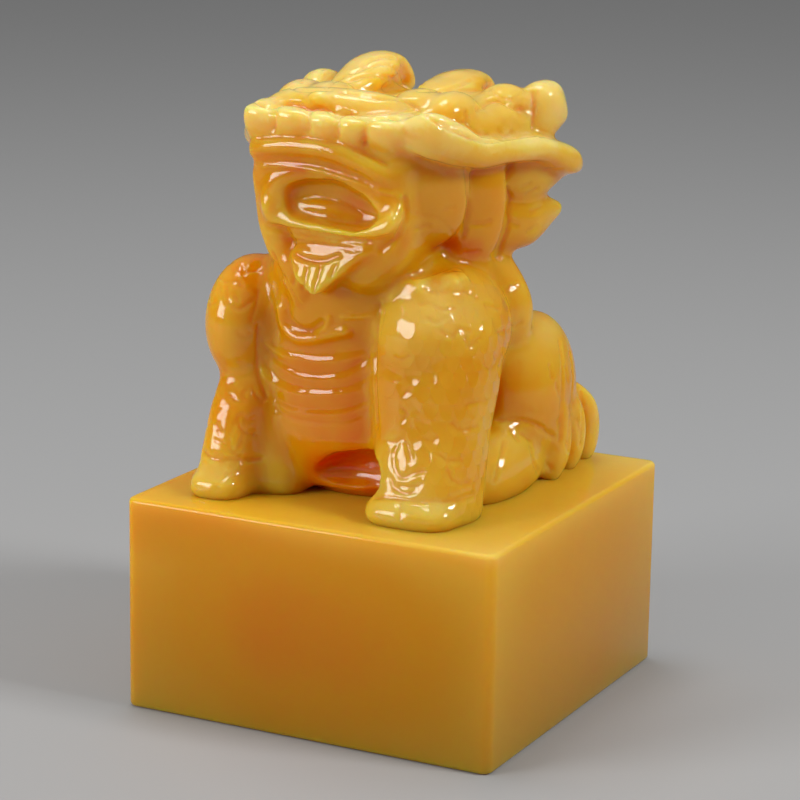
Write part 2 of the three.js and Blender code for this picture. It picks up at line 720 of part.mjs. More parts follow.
// The beast's pieces from the body outwards. Each one is cut back from all that came before it,
// so that its neighbours lie a fine seam apart.
const pieces = [];
function carve(name, look, form) {
  pieces.push({ name, look, form });
}
const pairs = [['left', 1], ['right', -1]];

carve('torso', stone.honey, torso);
carve('chest', stone.amber, chest);
carve('belly', stone.amber, belly);
carve('neck', stone.amber, neck);
for (const [side, sign] of pairs) {
  carve(`forepaw_${side}`, stone.honey, (grow) => forepaw(sign, grow));
  carve(`elbow_tuft_${side}`, stone.cream, (grow) => elbowTuft(sign, grow));
  carve(`shoulder_${side}`, stone.honey, (grow) => shoulder(sign, grow));
  carve(`foreleg_${side}`, stone.honey, (grow) => foreleg(sign, grow));
  carve(`hind_paw_${side}`, stone.honey, (grow) => hindPaw(sign, grow));
  for (let lock = 0; lock < rumpLocks; lock++) {
    carve(`rump_tuft_${side}_${lock + 1}`, stone.cream, (grow) => rumpTuft(sign, lock, grow));
  }
  carve(`haunch_${side}`, stone.honey, (grow) => haunch(sign, grow));
}
carve('tail', stone.cream, tail);
carve('lower_lip', stone.honey, lowerLip);
carve('mouth_rim', stone.honey, mouthRim);
carve('snout_roll', stone.honey, snoutRoll);
carve('tongue', stone.amber, tongue);
carve('muzzle', stone.amber, muzzle);
carve('beard', stone.honey, beard);
carve('brow_fringe', stone.cream, browFringe);
for (const [side, sign] of pairs) {
  carve(`eye_${side}`, stone.amber, (grow) => eye(sign, grow));
}
carve('brow_roll', stone.cream, browRoll);
for (const [side, sign] of pairs) {
  carve(`brow_band_${side}`, stone.cream, (grow) => browBand(sign, grow));
  carve(`horn_${side}`, stone.cream, (grow) => horn(sign, grow));
  carve(`ear_${side}`, stone.cream, (grow) => ear(sign, grow));
  carve(`crown_curl_${side}`, stone.cream, (grow) => crownCurl(sign, grow));
}
carve('crown', stone.cream, crown);
carve('skull', stone.honey, skull);
carve('lower_jaw', stone.amber, lowerJaw);
for (const [side, sign] of pairs) {
  carve(`cheek_${side}`, stone.honey, (grow) => cheek(sign, grow));
  carve(`mane_fold_${side}_1`, stone.honey, (grow) => maneFold(sign, 0, grow));
  carve(`mane_fold_${side}_2`, stone.honey, (grow) => maneFold(sign, 1, grow));
  carve(`upper_mane_${side}`, stone.cream, (grow) => sideMane(sign, grow)[0]);
  carve(`lower_mane_${side}`, stone.cream, (grow) => sideMane(sign, grow)[1]);
}
for (let i = 0; i < napeLocks; i++) {
  carve(`nape_lock_${i + 1}`, stone.cream, (grow) => napeLock(i, grow));
}

const largest = (solid) => solid.decompose().reduce((a, b) => (b.volume() > a.volume() ? b : a));

function namedMesh(name, look, solid) {
  const mesh = new THREE.Mesh(geometryOf(solid), new THREE.MeshStandardMaterial(look));
  mesh.name = name;
  return mesh;
}

const seal = new THREE.Group();
seal.add(namedMesh('seal_block', stone.honey, sealBlock()));

const beast = new THREE.Group();
beast.position.set(beastShift, 0, blockHeight);
seal.add(beast);

let taken = floor;
for (const { name, look, form } of pieces) {
  const solid = largest(form(0).subtract(taken).asOriginal().simplify(meshTolerance));
  beast.add(namedMesh(name, look, solid));
  taken = taken.add(form(seam)).asOriginal().simplify(meshTolerance);
}

export default seal;
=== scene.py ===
# %% [markdown]
# # A stone seal stamp with a guardian beast
# The object is one piece of polished honey-yellow stone. A carver left a square block for the printing
# face, and cut a seated beast out of the rest as a grip. Nothing on it is assembled, so the beast is
# modelled here the way it was made: rounded masses first, then hollows, then the fine cuts.

# %% The CAD frame
import math
import random

import bmesh
import bpy
import numpy as np
from mathutils import Matrix, Vector
from mathutils.bvhtree import BVHTree
from mathutils.kdtree import KDTree


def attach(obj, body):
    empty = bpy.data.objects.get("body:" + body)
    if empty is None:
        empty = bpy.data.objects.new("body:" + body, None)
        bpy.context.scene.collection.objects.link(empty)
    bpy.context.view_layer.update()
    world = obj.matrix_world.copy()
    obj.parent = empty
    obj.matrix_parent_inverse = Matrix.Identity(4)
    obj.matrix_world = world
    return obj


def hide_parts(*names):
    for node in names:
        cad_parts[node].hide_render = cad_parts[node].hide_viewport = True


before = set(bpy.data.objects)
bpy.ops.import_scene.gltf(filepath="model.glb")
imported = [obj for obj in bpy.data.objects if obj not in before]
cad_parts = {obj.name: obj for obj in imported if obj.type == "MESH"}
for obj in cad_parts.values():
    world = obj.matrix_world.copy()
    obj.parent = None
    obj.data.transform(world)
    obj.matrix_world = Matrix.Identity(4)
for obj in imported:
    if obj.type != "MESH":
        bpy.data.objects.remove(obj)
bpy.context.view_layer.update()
MM = 0.001

# %% [markdown]
# ## The camera
# A long lens from a little above and to the beast's left gives the flat, close view of a product
# photograph. The camera is placed by its heading, height and distance from a point inside the stone.

# %% Camera
HEADING, HEIGHT, ROLL = map(math.radians, (26.829, 13.813, 0.957))
AIM, DISTANCE = (-0.092, 36.1), 374.705
FRAME_PX, FOCAL_PX = 800, 2915.5


def camera_axes():
    """The camera's right, up and backward directions."""
    back = Vector((math.sin(HEADING) * math.cos(HEIGHT), -math.cos(HEADING) * math.cos(HEIGHT), math.sin(HEIGHT)))
    level = Vector((math.cos(HEADING), math.sin(HEADING), 0))
    rise = back.cross(level)
    right = math.cos(ROLL) * level + math.sin(ROLL) * rise
    up = math.cos(ROLL) * rise - math.sin(ROLL) * level
    eye = (AIM[0] * level + AIM[1] * rise + DISTANCE * back) * MM
    return right, up, back, eye


RIGHT, UP, BACK, EYE = camera_axes()
lens = bpy.data.cameras.new("camera")
lens.sensor_width = 36
lens.lens = FOCAL_PX * lens.sensor_width / FRAME_PX
lens.clip_start, lens.clip_end = 0.01, 20
camera = bpy.data.objects.new("camera", lens)
camera.matrix_world = Matrix.Translation(EYE) @ Matrix((RIGHT, UP, BACK)).transposed().to_4x4()
bpy.context.scene.collection.objects.link(camera)
bpy.context.scene.camera = camera
print("lens", round(lens.lens, 1), "mm, eye at", [round(v / MM) for v in EYE])

# %% [markdown]
# ## Light and floor
# Polished stone is read by its highlights. A large soft lamp stands low at the front left and lays broad
# patches on every facet that faces half way to it, one overhead lights the tops, and a smaller one high on
# the right sets sharp glints. Soft grey light comes from all round, and the floor is pale.

# %% Lamps
scene = bpy.context.scene
scene.view_settings.view_transform = "Standard"


def soft_lamp(name, place, size, watts):
    """A white area lamp at a place in millimetres that faces the middle of the stone."""
    light = bpy.data.lights.new(name, "AREA")
    light.shape = "RECTANGLE"
    light.size, light.size_y = size[0] * MM, size[1] * MM
    light.energy = watts
    lamp = bpy.data.objects.new(name, light)
    lamp.location = Vector(place) * MM
    lamp.rotation_euler = ((Vector(STONE_MIDDLE) - Vector(place)) * MM).to_track_quat("-Z", "Y").to_euler()
    scene.collection.objects.link(lamp)


STONE_MIDDLE = (0, 0, 45)
FACE_MIDDLE = (0, -18, 58)
KEY_PLACE = (-370, -465, 215)
GLINT = ((Vector(KEY_PLACE) - Vector(FACE_MIDDLE)).normalized() + BACK).normalized()
soft_lamp("key_lamp", KEY_PLACE, (320, 240), 2.3)
soft_lamp("top_lamp", (-120, 40, 620), (260, 200), 1.15)
soft_lamp("side_lamp", (490, 20, 400), (150, 150), 2.1)
print("a facet that glints faces", [round(v, 2) for v in GLINT])

# %% World
HORIZON_LIGHT, OVERHEAD_LIGHT = 0.08, 0.42
world = bpy.data.worlds.new("studio")
scene.world = world
world.use_nodes = True


def dial(node, values):
    """Sets a node's input sockets by their names."""
    for socket, value in values.items():
        node.inputs[socket].default_value = value


def fill_world(tree):
    """Grey light that grows from the horizon to overhead."""
    light = tree.nodes["Background"]
    light.inputs["Color"].default_value = (1, 1, 1, 1)
    split = tree.nodes.new("ShaderNodeSeparateXYZ")
    tree.links.new(tree.nodes.new("ShaderNodeTexCoord").outputs["Generated"], split.inputs["Vector"])
    rise = tree.nodes.new("ShaderNodeMapRange")
    tree.links.new(split.outputs["Z"], rise.inputs["Value"])
    dial(rise, {"From Min": 0.1, "From Max": 0.9, "To Min": HORIZON_LIGHT, "To Max": OVERHEAD_LIGHT})
    tree.links.new(rise.outputs["Result"], light.inputs["Strength"])


fill_world(world.node_tree)
print("world light from", HORIZON_LIGHT, "to", OVERHEAD_LIGHT)

# %% Floor
floor_mesh = bpy.data.meshes.new("floor")
bm = bmesh.new()
bmesh.ops.create_grid(bm, x_segments=1, y_segments=1, size=4)
bm.to_mesh(floor_mesh)
bm.free()
floor = bpy.data.objects.new("floor", floor_mesh)
scene.collection.objects.link(floor)
floor_paint = bpy.data.materials.new("pale_floor")
floor_paint.use_nodes = True


def paint_floor(tree):
    """A pale, dull grey, so that the polish above it stands out."""
    dial(tree.nodes["Principled BSDF"], {"Roughness": 0.7, "Base Color": (0.37, 0.37, 0.37, 1)})


paint_floor(floor_paint.node_tree)
floor_mesh.materials.append(floor_paint)
print("floor", floor.dimensions[:])

# %% [markdown]
# ## Masses of stone
# Every rounded mass is a sphere whose rings are strung along a smooth path, each with its own half
# width and half height. That one tool makes a haunch, a lock of hair or a lip, and a short path gives
# a plain boss. A high "square" number fills the corners of the section, as on a foreleg.

# %% Places in the stone
BODY = Vector((-2, 0, 27))
HEAD = Vector((-0.5, 0, 65))
FRONT = (0, -1, 0)


def ray_through(px, py):
    """The way of the camera's ray through a point of its frame."""
    return RIGHT * ((px - FRAME_PX / 2) / FOCAL_PX) + UP * ((FRAME_PX / 2 - py) / FOCAL_PX) - BACK


def seen(px, py, x=None, y=None):
    """The place in millimetres behind a point of the camera's frame, on the upright plane at x or at y."""
    eye, ray = EYE / MM, ray_through(px, py)
    return eye + ray * ((x - eye.x) / ray.x if y is None else (y - eye.y) / ray.y)


def seen_line(points, side=False):
    """Places behind points of the frame, each with its y, or with its x when it is on the beast's side."""
    return [seen(px, py, x=depth) if side else seen(px, py, y=depth) for px, py, depth in points]


def facing(px, py, through):
    """The place behind a point of the frame on the glinting facet that holds the place through."""
    eye, ray = EYE / MM, ray_through(px, py)
    return eye + ray * ((through - eye).dot(GLINT) / ray.dot(GLINT))


def flipped(points, sign):
    """Points of the beast's left as they are for sign 1, and mirrored across the head for sign -1."""
    return points if sign > 0 else [Vector((2 * HEAD.x - p.x, p.y, p.z)) for p in points]


def at(origin, *points, sign=1):
    """Points measured from the middle of the body's foot or of the mouth; sign -1 is the beast's right."""
    return [origin + Vector((sign * x, y, z)) for x, y, z in points]


print("body's foot at", BODY[:], "and mouth at", HEAD[:])

# %% Values and points along a path
def even(values, t):
    """The value at t of a list spread over 0 to 1, eased between its entries."""
    place = min(t * (len(values) - 1), len(values) - 1 - 1e-9)
    i = int(place)
    share = place - i
    share = share * share * (3 - 2 * share)
    return values[i] + (values[i + 1] - values[i]) * share


def along(points, t):
    """A point of the smooth path through the given points."""
    place = min(max(t, 0) * (len(points) - 1), len(points) - 1 - 1e-9)
    i = int(place)
    u = place - i
    p1, p2 = points[i], points[i + 1]
    p0 = points[i - 1] if i else p1 * 2 - p2
    p3 = points[i + 2] if i + 2 < len(points) else p2 * 2 - p1
    return 0.5 * (p1 * 2 + (p2 - p0) * u + (p0 * 2 - p1 * 5 + p2 * 4 - p3) * u * u
                  + (p1 * 3 - p0 - p2 * 3 + p3) * u ** 3)


# %% Strung rings
POLE = 1e-6


def pour(lump, stone):
    """Moves everything in the small bmesh called lump into stone."""
    mesh = bpy.data.meshes.new("lump")
    lump.to_mesh(mesh)
    lump.free()
    stone.from_mesh(mesh)
    bpy.data.meshes.remove(mesh)


def mass(stone, points, widths, heights, up=(0, 0, 1), blunt=2.6, square=2.0, rings=36):
    """Adds one rounded mass to the bmesh called stone.

    widths and heights are half sizes spread along the path, and up is the way that the height faces.
    blunt fills out the two ends, and square fills out the corners of the section.
    """
    lump = bmesh.new()
    bmesh.ops.create_uvsphere(lump, u_segments=32, v_segments=rings, radius=1)
    for v in lump.verts:
        t = 1 - math.acos(max(-1, min(1, v.co.z))) / math.pi
        ring = math.hypot(v.co.x, v.co.y)
        full = (1 - abs(2 * t - 1) ** blunt) ** (1 / blunt) if ring > POLE else 0
        across, above = (v.co.x / ring, v.co.y / ring) if ring > POLE else (0, 0)
        corner = (abs(across) ** square + abs(above) ** square) ** (-1 / square) if full else 0
        tangent = (along(points, min(t + 0.01, 1)) - along(points, max(t - 0.01, 0))).normalized()
        side = Vector(up).cross(tangent).normalized()
        over = tangent.cross(side)
        v.co = (along(points, t) + side * across * corner * full * even(widths, t)
                + over * above * corner * full * even(heights, t)) * MM
    pour(lump, stone)


# %% Bosses and flat-faced wedges
def boss(stone, centre, radii):
    """Adds an ellipsoid."""
    shape = Matrix.Translation(centre * MM) @ Matrix.Diagonal((*[r * MM for r in radii], 1))
    lump = bmesh.new()
    bmesh.ops.create_icosphere(lump, subdivisions=4, radius=1, matrix=shape)
    pour(lump, stone)


def plate(stone, corners, middle, thick):
    """Adds a wedge whose flat, glinting face holds the place middle and has its corners behind points of the
    frame. It is the hull of those corners and of the same corners set back into the stone."""
    lump = bmesh.new()
    for px, py in corners:
        for back in (0, thick):
            bmesh.ops.create_vert(lump, co=(facing(px, py, middle) + Vector((0, back, 0))) * MM)
    bmesh.ops.convex_hull(lump, input=lump.verts)
    pour(lump, stone)


def tell(name):
    print(name, "carved:", len(bulk.verts) + len(trim.verts), "points in all")


bulk, trim = bmesh.new(), bmesh.new()

# %% [markdown]
# ## The body
# The beast sits with its chest up and its rump down, so the trunk is one mass that falls away to the
# rear. The chest is a fuller, squarer mass in front, and the belly reaches the block between the paws.

# %% Trunk, chest, belly and neck
def carve_trunk(stone):
    mass(stone, at(BODY, (0, -9.3, 17.2), (0, 2.7, 17.2), (0, 13.2, 14.8), (0, 20.7, 10)),
         [10.8, 13, 13.5, 11.3], [12.7, 12.7, 10.8, 10], blunt=2.4)
    mass(stone, at(BODY, (-1.4, -7.6, 0), (-1.6, -7.4, 10), (-1.8, -6.2, 20), (-1.6, -5.2, 28), (-1, -3, 35)),
         [8.6, 10.6, 10.8, 10.4, 8], [5.6, 7.6, 8.2, 7.6, 6.6], up=FRONT, blunt=5, square=2.5)
    mass(stone, at(BODY, (-9.6, -11.6, 12), (-9.4, -11.8, 5), (-8.8, -12, -1)),
         [3.4, 3.6, 4.4], [2.6, 3, 3.4], up=FRONT, blunt=5)
    mass(stone, at(BODY, (-1, -7.4, 20), (-0.8, -8.8, 27), (0.8, -9, 33)),
         [10, 9.6, 9], [7.2, 7.4, 7], up=FRONT, blunt=4, square=2.4)
    boss(stone, BODY + Vector((0, -1.3, 2.7)), (10.8, 9.4, 6.3))
    mass(stone, at(BODY, (0, 1, 21), (0.75, 0.4, 29), (1.5, -1, 35)),
         [12.5, 12.5, 12], [11, 11, 11], up=FRONT, blunt=4)


carve_trunk(bulk)
tell("trunk")

# %% [markdown]
# ## Forelegs
# The left foreleg, nearer the camera, is the heavier. Each one is a full shoulder, a squarish post that
# slants out towards the foot, and a blunt paw. Two flat facets on top of the left shoulder catch the
# light, and the back of each upper arm closes the outline behind the shoulder.

# %% Shoulders, legs and paws
def carve_foreleg(stone, sign, shoulder, places, halves):
    """shoulder is its boss's place out from the middle, height, half width and length.

    places are how far out the post's top, knee and foot stand, and halves its half widths from the top down.
    """
    out, high, half, length = shoulder
    boss(stone, BODY + Vector((sign * out, -17.3 + length / 2, high)), (half, length / 2, 8.2))
    top, knee, foot = places
    mass(stone, at(BODY, (top, -8.4, high + 3), (top, -10.2, 17), (knee, -12, 9), (foot, -13, 3),
                   (foot, -13.4, -1), sign=sign),
         halves, [halves[0] * 0.9, halves[1] * 0.84, 5.4, 5.8, 6.2], up=FRONT, blunt=7, square=2.7)
    mass(stone, at(BODY, (foot, -20.9, 1), (foot, -14.8, 1.4), (foot, -8.5, 1.1), sign=sign),
         [halves[4] * 0.9, halves[4] * 0.93, halves[4] * 0.82], [1.9, 2.3, 1.9], blunt=3.6, square=3)


carve_foreleg(bulk, 1, (11.3, 21.8, 8, 20), (11.9, 12.4, 12.5), [8, 7.6, 6.8, 6.5, 6.7])
carve_foreleg(bulk, -1, (14, 20.6, 5.2, 16), (12.2, 13.5, 13.9), [4.8, 3.8, 3.7, 3.9, 4.1])
tell("forelegs")


# %% Facets on the left shoulder, and the back of the upper arms
def carve_shoulder_top(stone):
    for corners, middle in (
            (((390, 292), (396, 284), (420, 280), (424, 292), (408, 296)), seen(406, 288, y=-14.9)),
            (((416, 281), (442, 274), (452, 274), (459, 282), (456, 288), (438, 291), (420, 294)),
             seen(440, 284, y=-12.7))):
        plate(stone, corners, middle, 3)


def carve_upper_arm(stone, sign):
    top = 31 if sign > 0 else 28.6
    mass(stone, at(BODY, (10.4, 1.6, top), (13, 2.2, top - 3.6), (15.2, 3, 23.6), (16, 4, 18), sign=sign),
         [3.2, 3.2, 3, 2.4], [3.2, 3.2, 3, 2.6], up=FRONT, blunt=3)
    mass(stone, at(BODY, (9.6, -2.6, top), (11.6, -1.8, top - 5), (13.2, -1, 19), sign=sign),
         [4.4, 4.4, 3.4], [4.6, 4.8, 3.6], up=FRONT, blunt=3)


carve_shoulder_top(trim)
for sign in (1, -1):
    carve_upper_arm(bulk, sign)
tell("upper arms")

# %% [markdown]
# ## Haunches, hind paws and tail
# A haunch is a high rounded mass whose rear edge breaks into locks that run down to the block. The hind
# paw lies under it. The tail is a guess, as the photograph shows the front: a low fan of locks.

# %% Rear masses
def carve_haunch(stone, sign):
    mass(stone, at(BODY, (13, 0, 11), (14, 7.8, 11), (13.6, 19, 9.7), sign=sign),
         [5.2, 6.5, 6.2], [9.3, 10.3, 11], blunt=2.8)
    mass(stone, at(BODY, (15.2, 10.8, 1.8), (15.2, 0.8, 3.6), (15.2, -8.2, 3.2), sign=sign),
         [4, 4.3, 4], [3.2, 5.2, 4.5], blunt=3)


def carve_rump_locks(stone, sign):
    for lock in range(3):
        x = 18.6 - lock * 0.5
        y = 9.4 + lock * 4.7
        top = 22 * (0.62 - lock * 0.06)
        mass(stone, at(BODY, (x - 0.6, y - 1.6, top), (x + 0.2, y + lock * 0.9, top * 0.62),
                       (x, y + 0.6 + lock, top * 0.3), (x - 0.2, y + 0.4 + lock, -0.6), sign=sign),
             [1.5, 2, 2.2, 2.2], [2, 2.2, 2.4, 2 + lock * 0.3], up=(sign, 0, 0))


def carve_tail(stone):
    for place in range(-2, 3):
        out = place * 3.25
        reach = 20 - 1.5 * abs(place)
        mass(stone, at(BODY, (out * 0.2, 18.4, -0.6), (out * 0.5, 20.6, 4.6),
                       (out, 21.1 - 0.5 * abs(place), reach * 0.66), (out * 1.3, 19.9 - abs(place), reach)),
             [2, 2.6, 2.8, 1.5], [2, 2.8, 2.5, 1.5], up=(0, 1, 0.1), blunt=3)


for sign in (1, -1):
    carve_haunch(bulk, sign)
    carve_rump_locks(trim, sign)
carve_tail(trim)
tell("hindquarters")

# %% [markdown]
# ## The head
# The head is a broad box of stone. Its face is a shield that narrows to the chin, with a rolled snout,
# a raised rim round the open mouth and a beard cut as a flat wedge under it.

# %% Skull, crown and jaw
def carve_skull(stone):
    mass(stone, at(HEAD, (0, -15, 0), (0, -3, 0.4), (0, 9, 1.6)), [9.2, 13.1, 13], [7, 9, 8], blunt=3.2, square=2.4)
    mass(stone, at(HEAD, (0, -16.4, 7.4), (0, -4, 7.4), (0, 11, 7.3)), [8.2, 12, 13, 11.4], [2.8, 3.2, 3.4],
         blunt=3.4, square=2.4)
    mass(stone, at(HEAD, (-1, -14.6, -5.4), (0, -10, -6), (0, -3, -6)), [6.4, 9, 11], [2.2, 3.8, 5.2],
         blunt=3, square=2.4)


carve_skull(bulk)
tell("skull")


# %% Face
def carve_shield(stone):
    """The flat front of the head."""
    mass(stone, at(HEAD, (-2.2, -12.6, -7.2), (-0.9, -12.9, -5.2), (0, -13, -3.2), (0, -13, -1), (-0.4, -13, 1.8),
                   (-0.8, -13, 5.2), (-0.2, -13, 7.8), (-0.4, -13, 10)),
         [6.2, 8.4, 9.9, 10.2, 10.5, 11.1, 9.8, 9.8], [4.8, 5.1, 5.3, 5.3, 5.3, 5.3, 4.8, 4.6],
         up=FRONT, blunt=12, square=6)


def carve_snout(stone):
    """The snout's roll, and the edge that runs down the right of the face."""
    snout = ((257, 152, -16.4), (267, 147, -17.7), (300, 147, -18), (330, 151, -18.1), (356, 160, -18),
             (379, 172, -17.6), (397, 188, -16.4))
    mass(stone, seen_line(snout), [1.05] * 7, [1.6] * 7, up=GLINT, blunt=6, square=5)
    jowl = ((267, 162, -15.2), (270, 178, -15.4), (273, 200, -15.4), (276, 222, -15.2), (283, 243, -14.8),
            (288, 256, -14.6))
    mass(stone, seen_line(jowl), [1.9] * 6, [2.2] * 6, up=FRONT, blunt=6, square=2.6)


def carve_lips(stone):
    """The rim of the mouth, three flat facets of the lower lip and two small warts on it."""
    rim = ((272, 213), (270, 196), (279, 180), (304, 174), (330, 178), (356, 188), (377, 200), (391, 213),
           (388, 227), (372, 233))
    mass(stone, [seen(px, py, y=-17.8) for px, py in rim], [1.3, 1.3, 0.9, 0.7, 0.7, 0.9, 1.3, 1.6, 1.4, 0.9],
         [0.7] * 10, up=FRONT, blunt=8, square=4, rings=60)
    middle = seen(312, 226, y=-19.1)
    for lip in (((261, 204), (270, 212), (290, 218), (312, 223), (312, 233), (288, 228), (268, 223), (262, 217)),
                ((311, 223), (338, 227), (361, 228), (361, 238), (338, 236), (311, 232)),
                ((362, 229), (378, 223), (391, 213), (395, 222), (387, 235), (366, 239))):
        plate(stone, lip, middle, 2.5)
    for px, py in ((267, 207), (359, 225)):
        boss(stone, seen(px, py, y=-18.3), (0.6, 0.8, 1.1))


def carve_beard(stone):
    """A flat three-cornered wedge under the chin, in front of a narrower fold of skin."""
    wedge = ((287, 249), (330, 250), (369, 252), (311, 298), (292, 279))
    plate(stone, wedge, seen(325, 262, y=-18.9), 5)
    mass(stone, seen_line(((303, 254, -14.8), (303, 276, -14.9), (302, 304, -14.6))),
         [3.9, 2.3, 0.7], [2.4, 2.2, 1.6], up=FRONT, blunt=7, square=2.6)


carve_shield(bulk)
carve_snout(trim)
carve_lips(trim)
carve_beard(trim)
tell("face")

# %% [markdown]
# Over the face hangs a fringe of five lobes with a long roll behind it and a rounded brow above, on which a
# small round eye sits. From its ends two brow bands sweep back along the head, dip and rise to free tips.

# %% Fringe, brow, bands
PX_MM = 0.132


def carve_fringe(stone):
    """Five lobes between the given upper ends, each a little wider than its share so that they meet."""
    ends = ((246, 104), (275, 106), (308, 110), (337, 115), (366, 120), (401, 119))
    for (x0, y0), (x1, y1) in zip(ends, ends[1:]):
        px, top = (x0 + x1) / 2, (y0 + y1) / 2
        half = (x1 - x0) * PX_MM * 0.54
        bend = -18.4 + 0.8 * ((px - 320) / 75) ** 2
        lean = 6 if x0 == ends[0][0] else 0
        mass(stone, seen_line(((px, top - 1, bend), (px, top + 14, bend + 0.3), (px + lean, top + 36, bend + 2.4))),
             [half * 0.9, half, half], [1.4, 1.5, 1.2], up=FRONT, blunt=6, square=3)


def carve_brow(stone):
    """The roll behind the fringe, the brow above it, and the one small eye that the photograph shows."""
    roll = ((264, 131, -14.8), (285, 129, -15.6), (320, 133, -15.8), (355, 140, -15.6), (395, 147, -14.6))
    mass(stone, seen_line(roll), [1.8] * 5, [2] * 5, up=FRONT, blunt=6, square=2.8)
    brow = ((268, 108, -12.6), (295, 103, -12.6), (335, 105, -12.8), (372, 109, -12.6), (404, 114, -12.2))
    mass(stone, seen_line(brow), [1.7, 1.9, 2.1, 2.1, 2], [2.4, 3, 3, 3, 2.8], up=FRONT, blunt=4)
    boss(stone, seen(319, 97, y=-15.6), (1.5, 1.2, 0.8))


def carve_band(stone, sign):
    """The broad curtain that runs back from the fringe and ends in a free tip."""
    tuck = 0 if sign > 0 else 1.5
    path = ((7.6, -17.2, 8.2), (10.2, -16.6, 8.6), (11.8, -15.6, 8.5), (13.2, -13, 7.4), (14.4, -9, 5.9),
            (15.6, -3, 5.4), (17.2, 3, 5), (18.3, 8.4, 3.1), (18.2, 13, 1.6))
    line = [(x - (tuck if y < -12 else 0), y, z) for x, y, z in path]
    mass(stone, at(HEAD, *line, sign=sign), [0.8, 1.6, 2.1, 2.4, 2.3, 2.2, 2.1, 2, 1.4],
         [1.6, 2.5, 2.8, 2.5, 1.9, 1.4, 1.5, 2, 1.5], blunt=4, square=2.4, rings=48)


carve_fringe(trim)
carve_brow(trim)
for sign in (1, -1):
    carve_band(trim, sign)
tell("brow")

# %% [markdown]
# On the crown lie two horns, half sunk, with a short curl outside each and a leaf-shaped ear behind.
# The side of the head steps back in upright folds to two locks of mane, and locks fan over the nape.

# %% Horns
HORNS = {-1: (-6.1, ((344, 90), (358, 80), (372, 68), (385, 60), (396, 72), (405, 90)),
              [0.9, 1.3, 1.5, 1.2, 1.3, 1.2]),
         1: (5.1, ((428, 96), (444, 89), (458, 84), (470, 80), (479, 89), (487, 102)),
             [0.9, 1.3, 1.6, 1.4, 1.4, 1.2])}


def carve_horn(stone, sign):
    """A rising roll with a pointed tip, on a boss that fills the arch beneath it."""
    x, path, rise = HORNS[sign]
    mass(stone, [seen(px, py, x=x) for px, py in path], [2.8, 3.5, 3.5, 2.8, 2.6, 2.4], rise, blunt=4, square=2.1)
    first, last = path[0], path[-1]
    boss(stone, seen((first[0] + last[0]) / 2, (first[1] + last[1]) / 2 - 8, x=x), (2.8, 5, 2.6))
    tip = [path[2], path[3], (path[3][0] - 2, path[3][1] - 8)]
    mass(stone, [seen(px, py, x=x) for px, py in tip], [2.4, 1.8, 0.7], [1.6, 1.4, 0.7], blunt=3)


# %% Ears, curls and the sides of the crown
def carve_ear(stone, sign):
    ear = seen_line(((539, 134, 14.4), (541, 118, 14.8), (546, 103, 15), (555, 84, 15.4)), side=True)
    ear = [p - Vector((0, 0, 0 if sign > 0 else 2)) for p in ear]
    mass(stone, flipped(ear, sign), [2.2, 2.6, 2.7, 1.6], [3.2, 4, 4, 2], up=FRONT, blunt=5, square=2.6)


def carve_curls(stone, sign):
    lobe = seen_line(((486, 106, 11.4), (505, 97, 12), (524, 103, 13)), side=True)
    mass(stone, flipped(lobe, sign), [2.2, 2.6, 2.2], [1.3, 1.7, 1.4], blunt=3)
    curls = flipped(seen_line(((452, 113, 9.6), (498, 119, 12.8), (420, 102, 5.6)), side=True), sign)
    for curl, radii in zip(curls, ((3, 4.4, 2.6), (2.2, 3.4, 2), (3, 4, 1.6))):
        boss(stone, curl, radii)


def carve_crown_side(stone, sign):
    mass(stone, at(HEAD, (5, -8, 8.6), (9, -2, 9), (12, 6, 8.4), sign=sign), [4, 4.5, 3], [2.2, 2.4, 2.2], blunt=3)
    mass(stone, at(HEAD, (9.6, -12, 8.4), (12, -4, 7.4), (13.6, 4, 6.6), (14.4, 9, 5.4), sign=sign),
         [3, 3, 2.8, 2.4], [3, 3, 3, 2.8], blunt=3)


# %% Cheeks, folds and mane
def carve_side(stone, sign):
    """Petals that overlap from the cheek backwards, each turned a little outwards at its rear edge."""
    wide = 10 if sign > 0 else 8.8
    out = (sign * 0.885, -0.466, 0)
    mass(stone, at(HEAD, (wide, -11.6, 7), (wide, -11.4, 1.6), (wide - 0.4, -11.2, -2), (wide - 1.6, -10.4, -5.6),
                   sign=sign),
         [4.8, 4.8, 4.6, 3.6], [2.2, 2.4, 2.2, 1.6], up=out, blunt=5, square=3)
    mass(stone, at(HEAD, (12.6, -4.2, 5.5), (12.7, -4, 0), (12.2, -4.2, -4.6), (10.4, -4.8, -9.4), sign=sign),
         [3.5, 3.6, 3.5, 2.8], [1.9, 2, 1.8, 1.3], up=out, blunt=4, square=2.8)
    mass(stone, at(HEAD, (10.8, -1, -4.4), (13.2, 5.4, -4), (16.2, 12.6, -3.6), sign=sign),
         [3, 3.4, 1.6], [5, 4, 1.5], square=2.4)
    mass(stone, at(HEAD, (11, -1.4, 2.2), (13.8, 5.4, 1.8), (16.8, 12.4, 1.4), sign=sign),
         [3, 3.4, 2], [5, 4, 1.7], square=2.4)


def carve_nape(stone):
    for place in range(-2, 3):
        x = place * 4.9
        drop = 17 - 1.8 * abs(place)
        rear = 13.2 - 0.6 * place * place
        mass(stone, at(HEAD, (x * 0.9, rear - 8, 5), (x, rear - 1.4, 2.4), (x, rear - 1.8, 2 - drop * 0.5),
                       (x * 0.84, rear - 0.6, 2 - drop)), [2.7, 3.3, 3.1, 1.4], [3, 3.4, 3.4, 1.8], up=(0, 1, 0.2))


for sign in (1, -1):
    for carve in (carve_horn, carve_ear, carve_curls, carve_crown_side, carve_side):
        carve(trim, sign)
carve_nape(trim)
tell("crown, sides and nape")

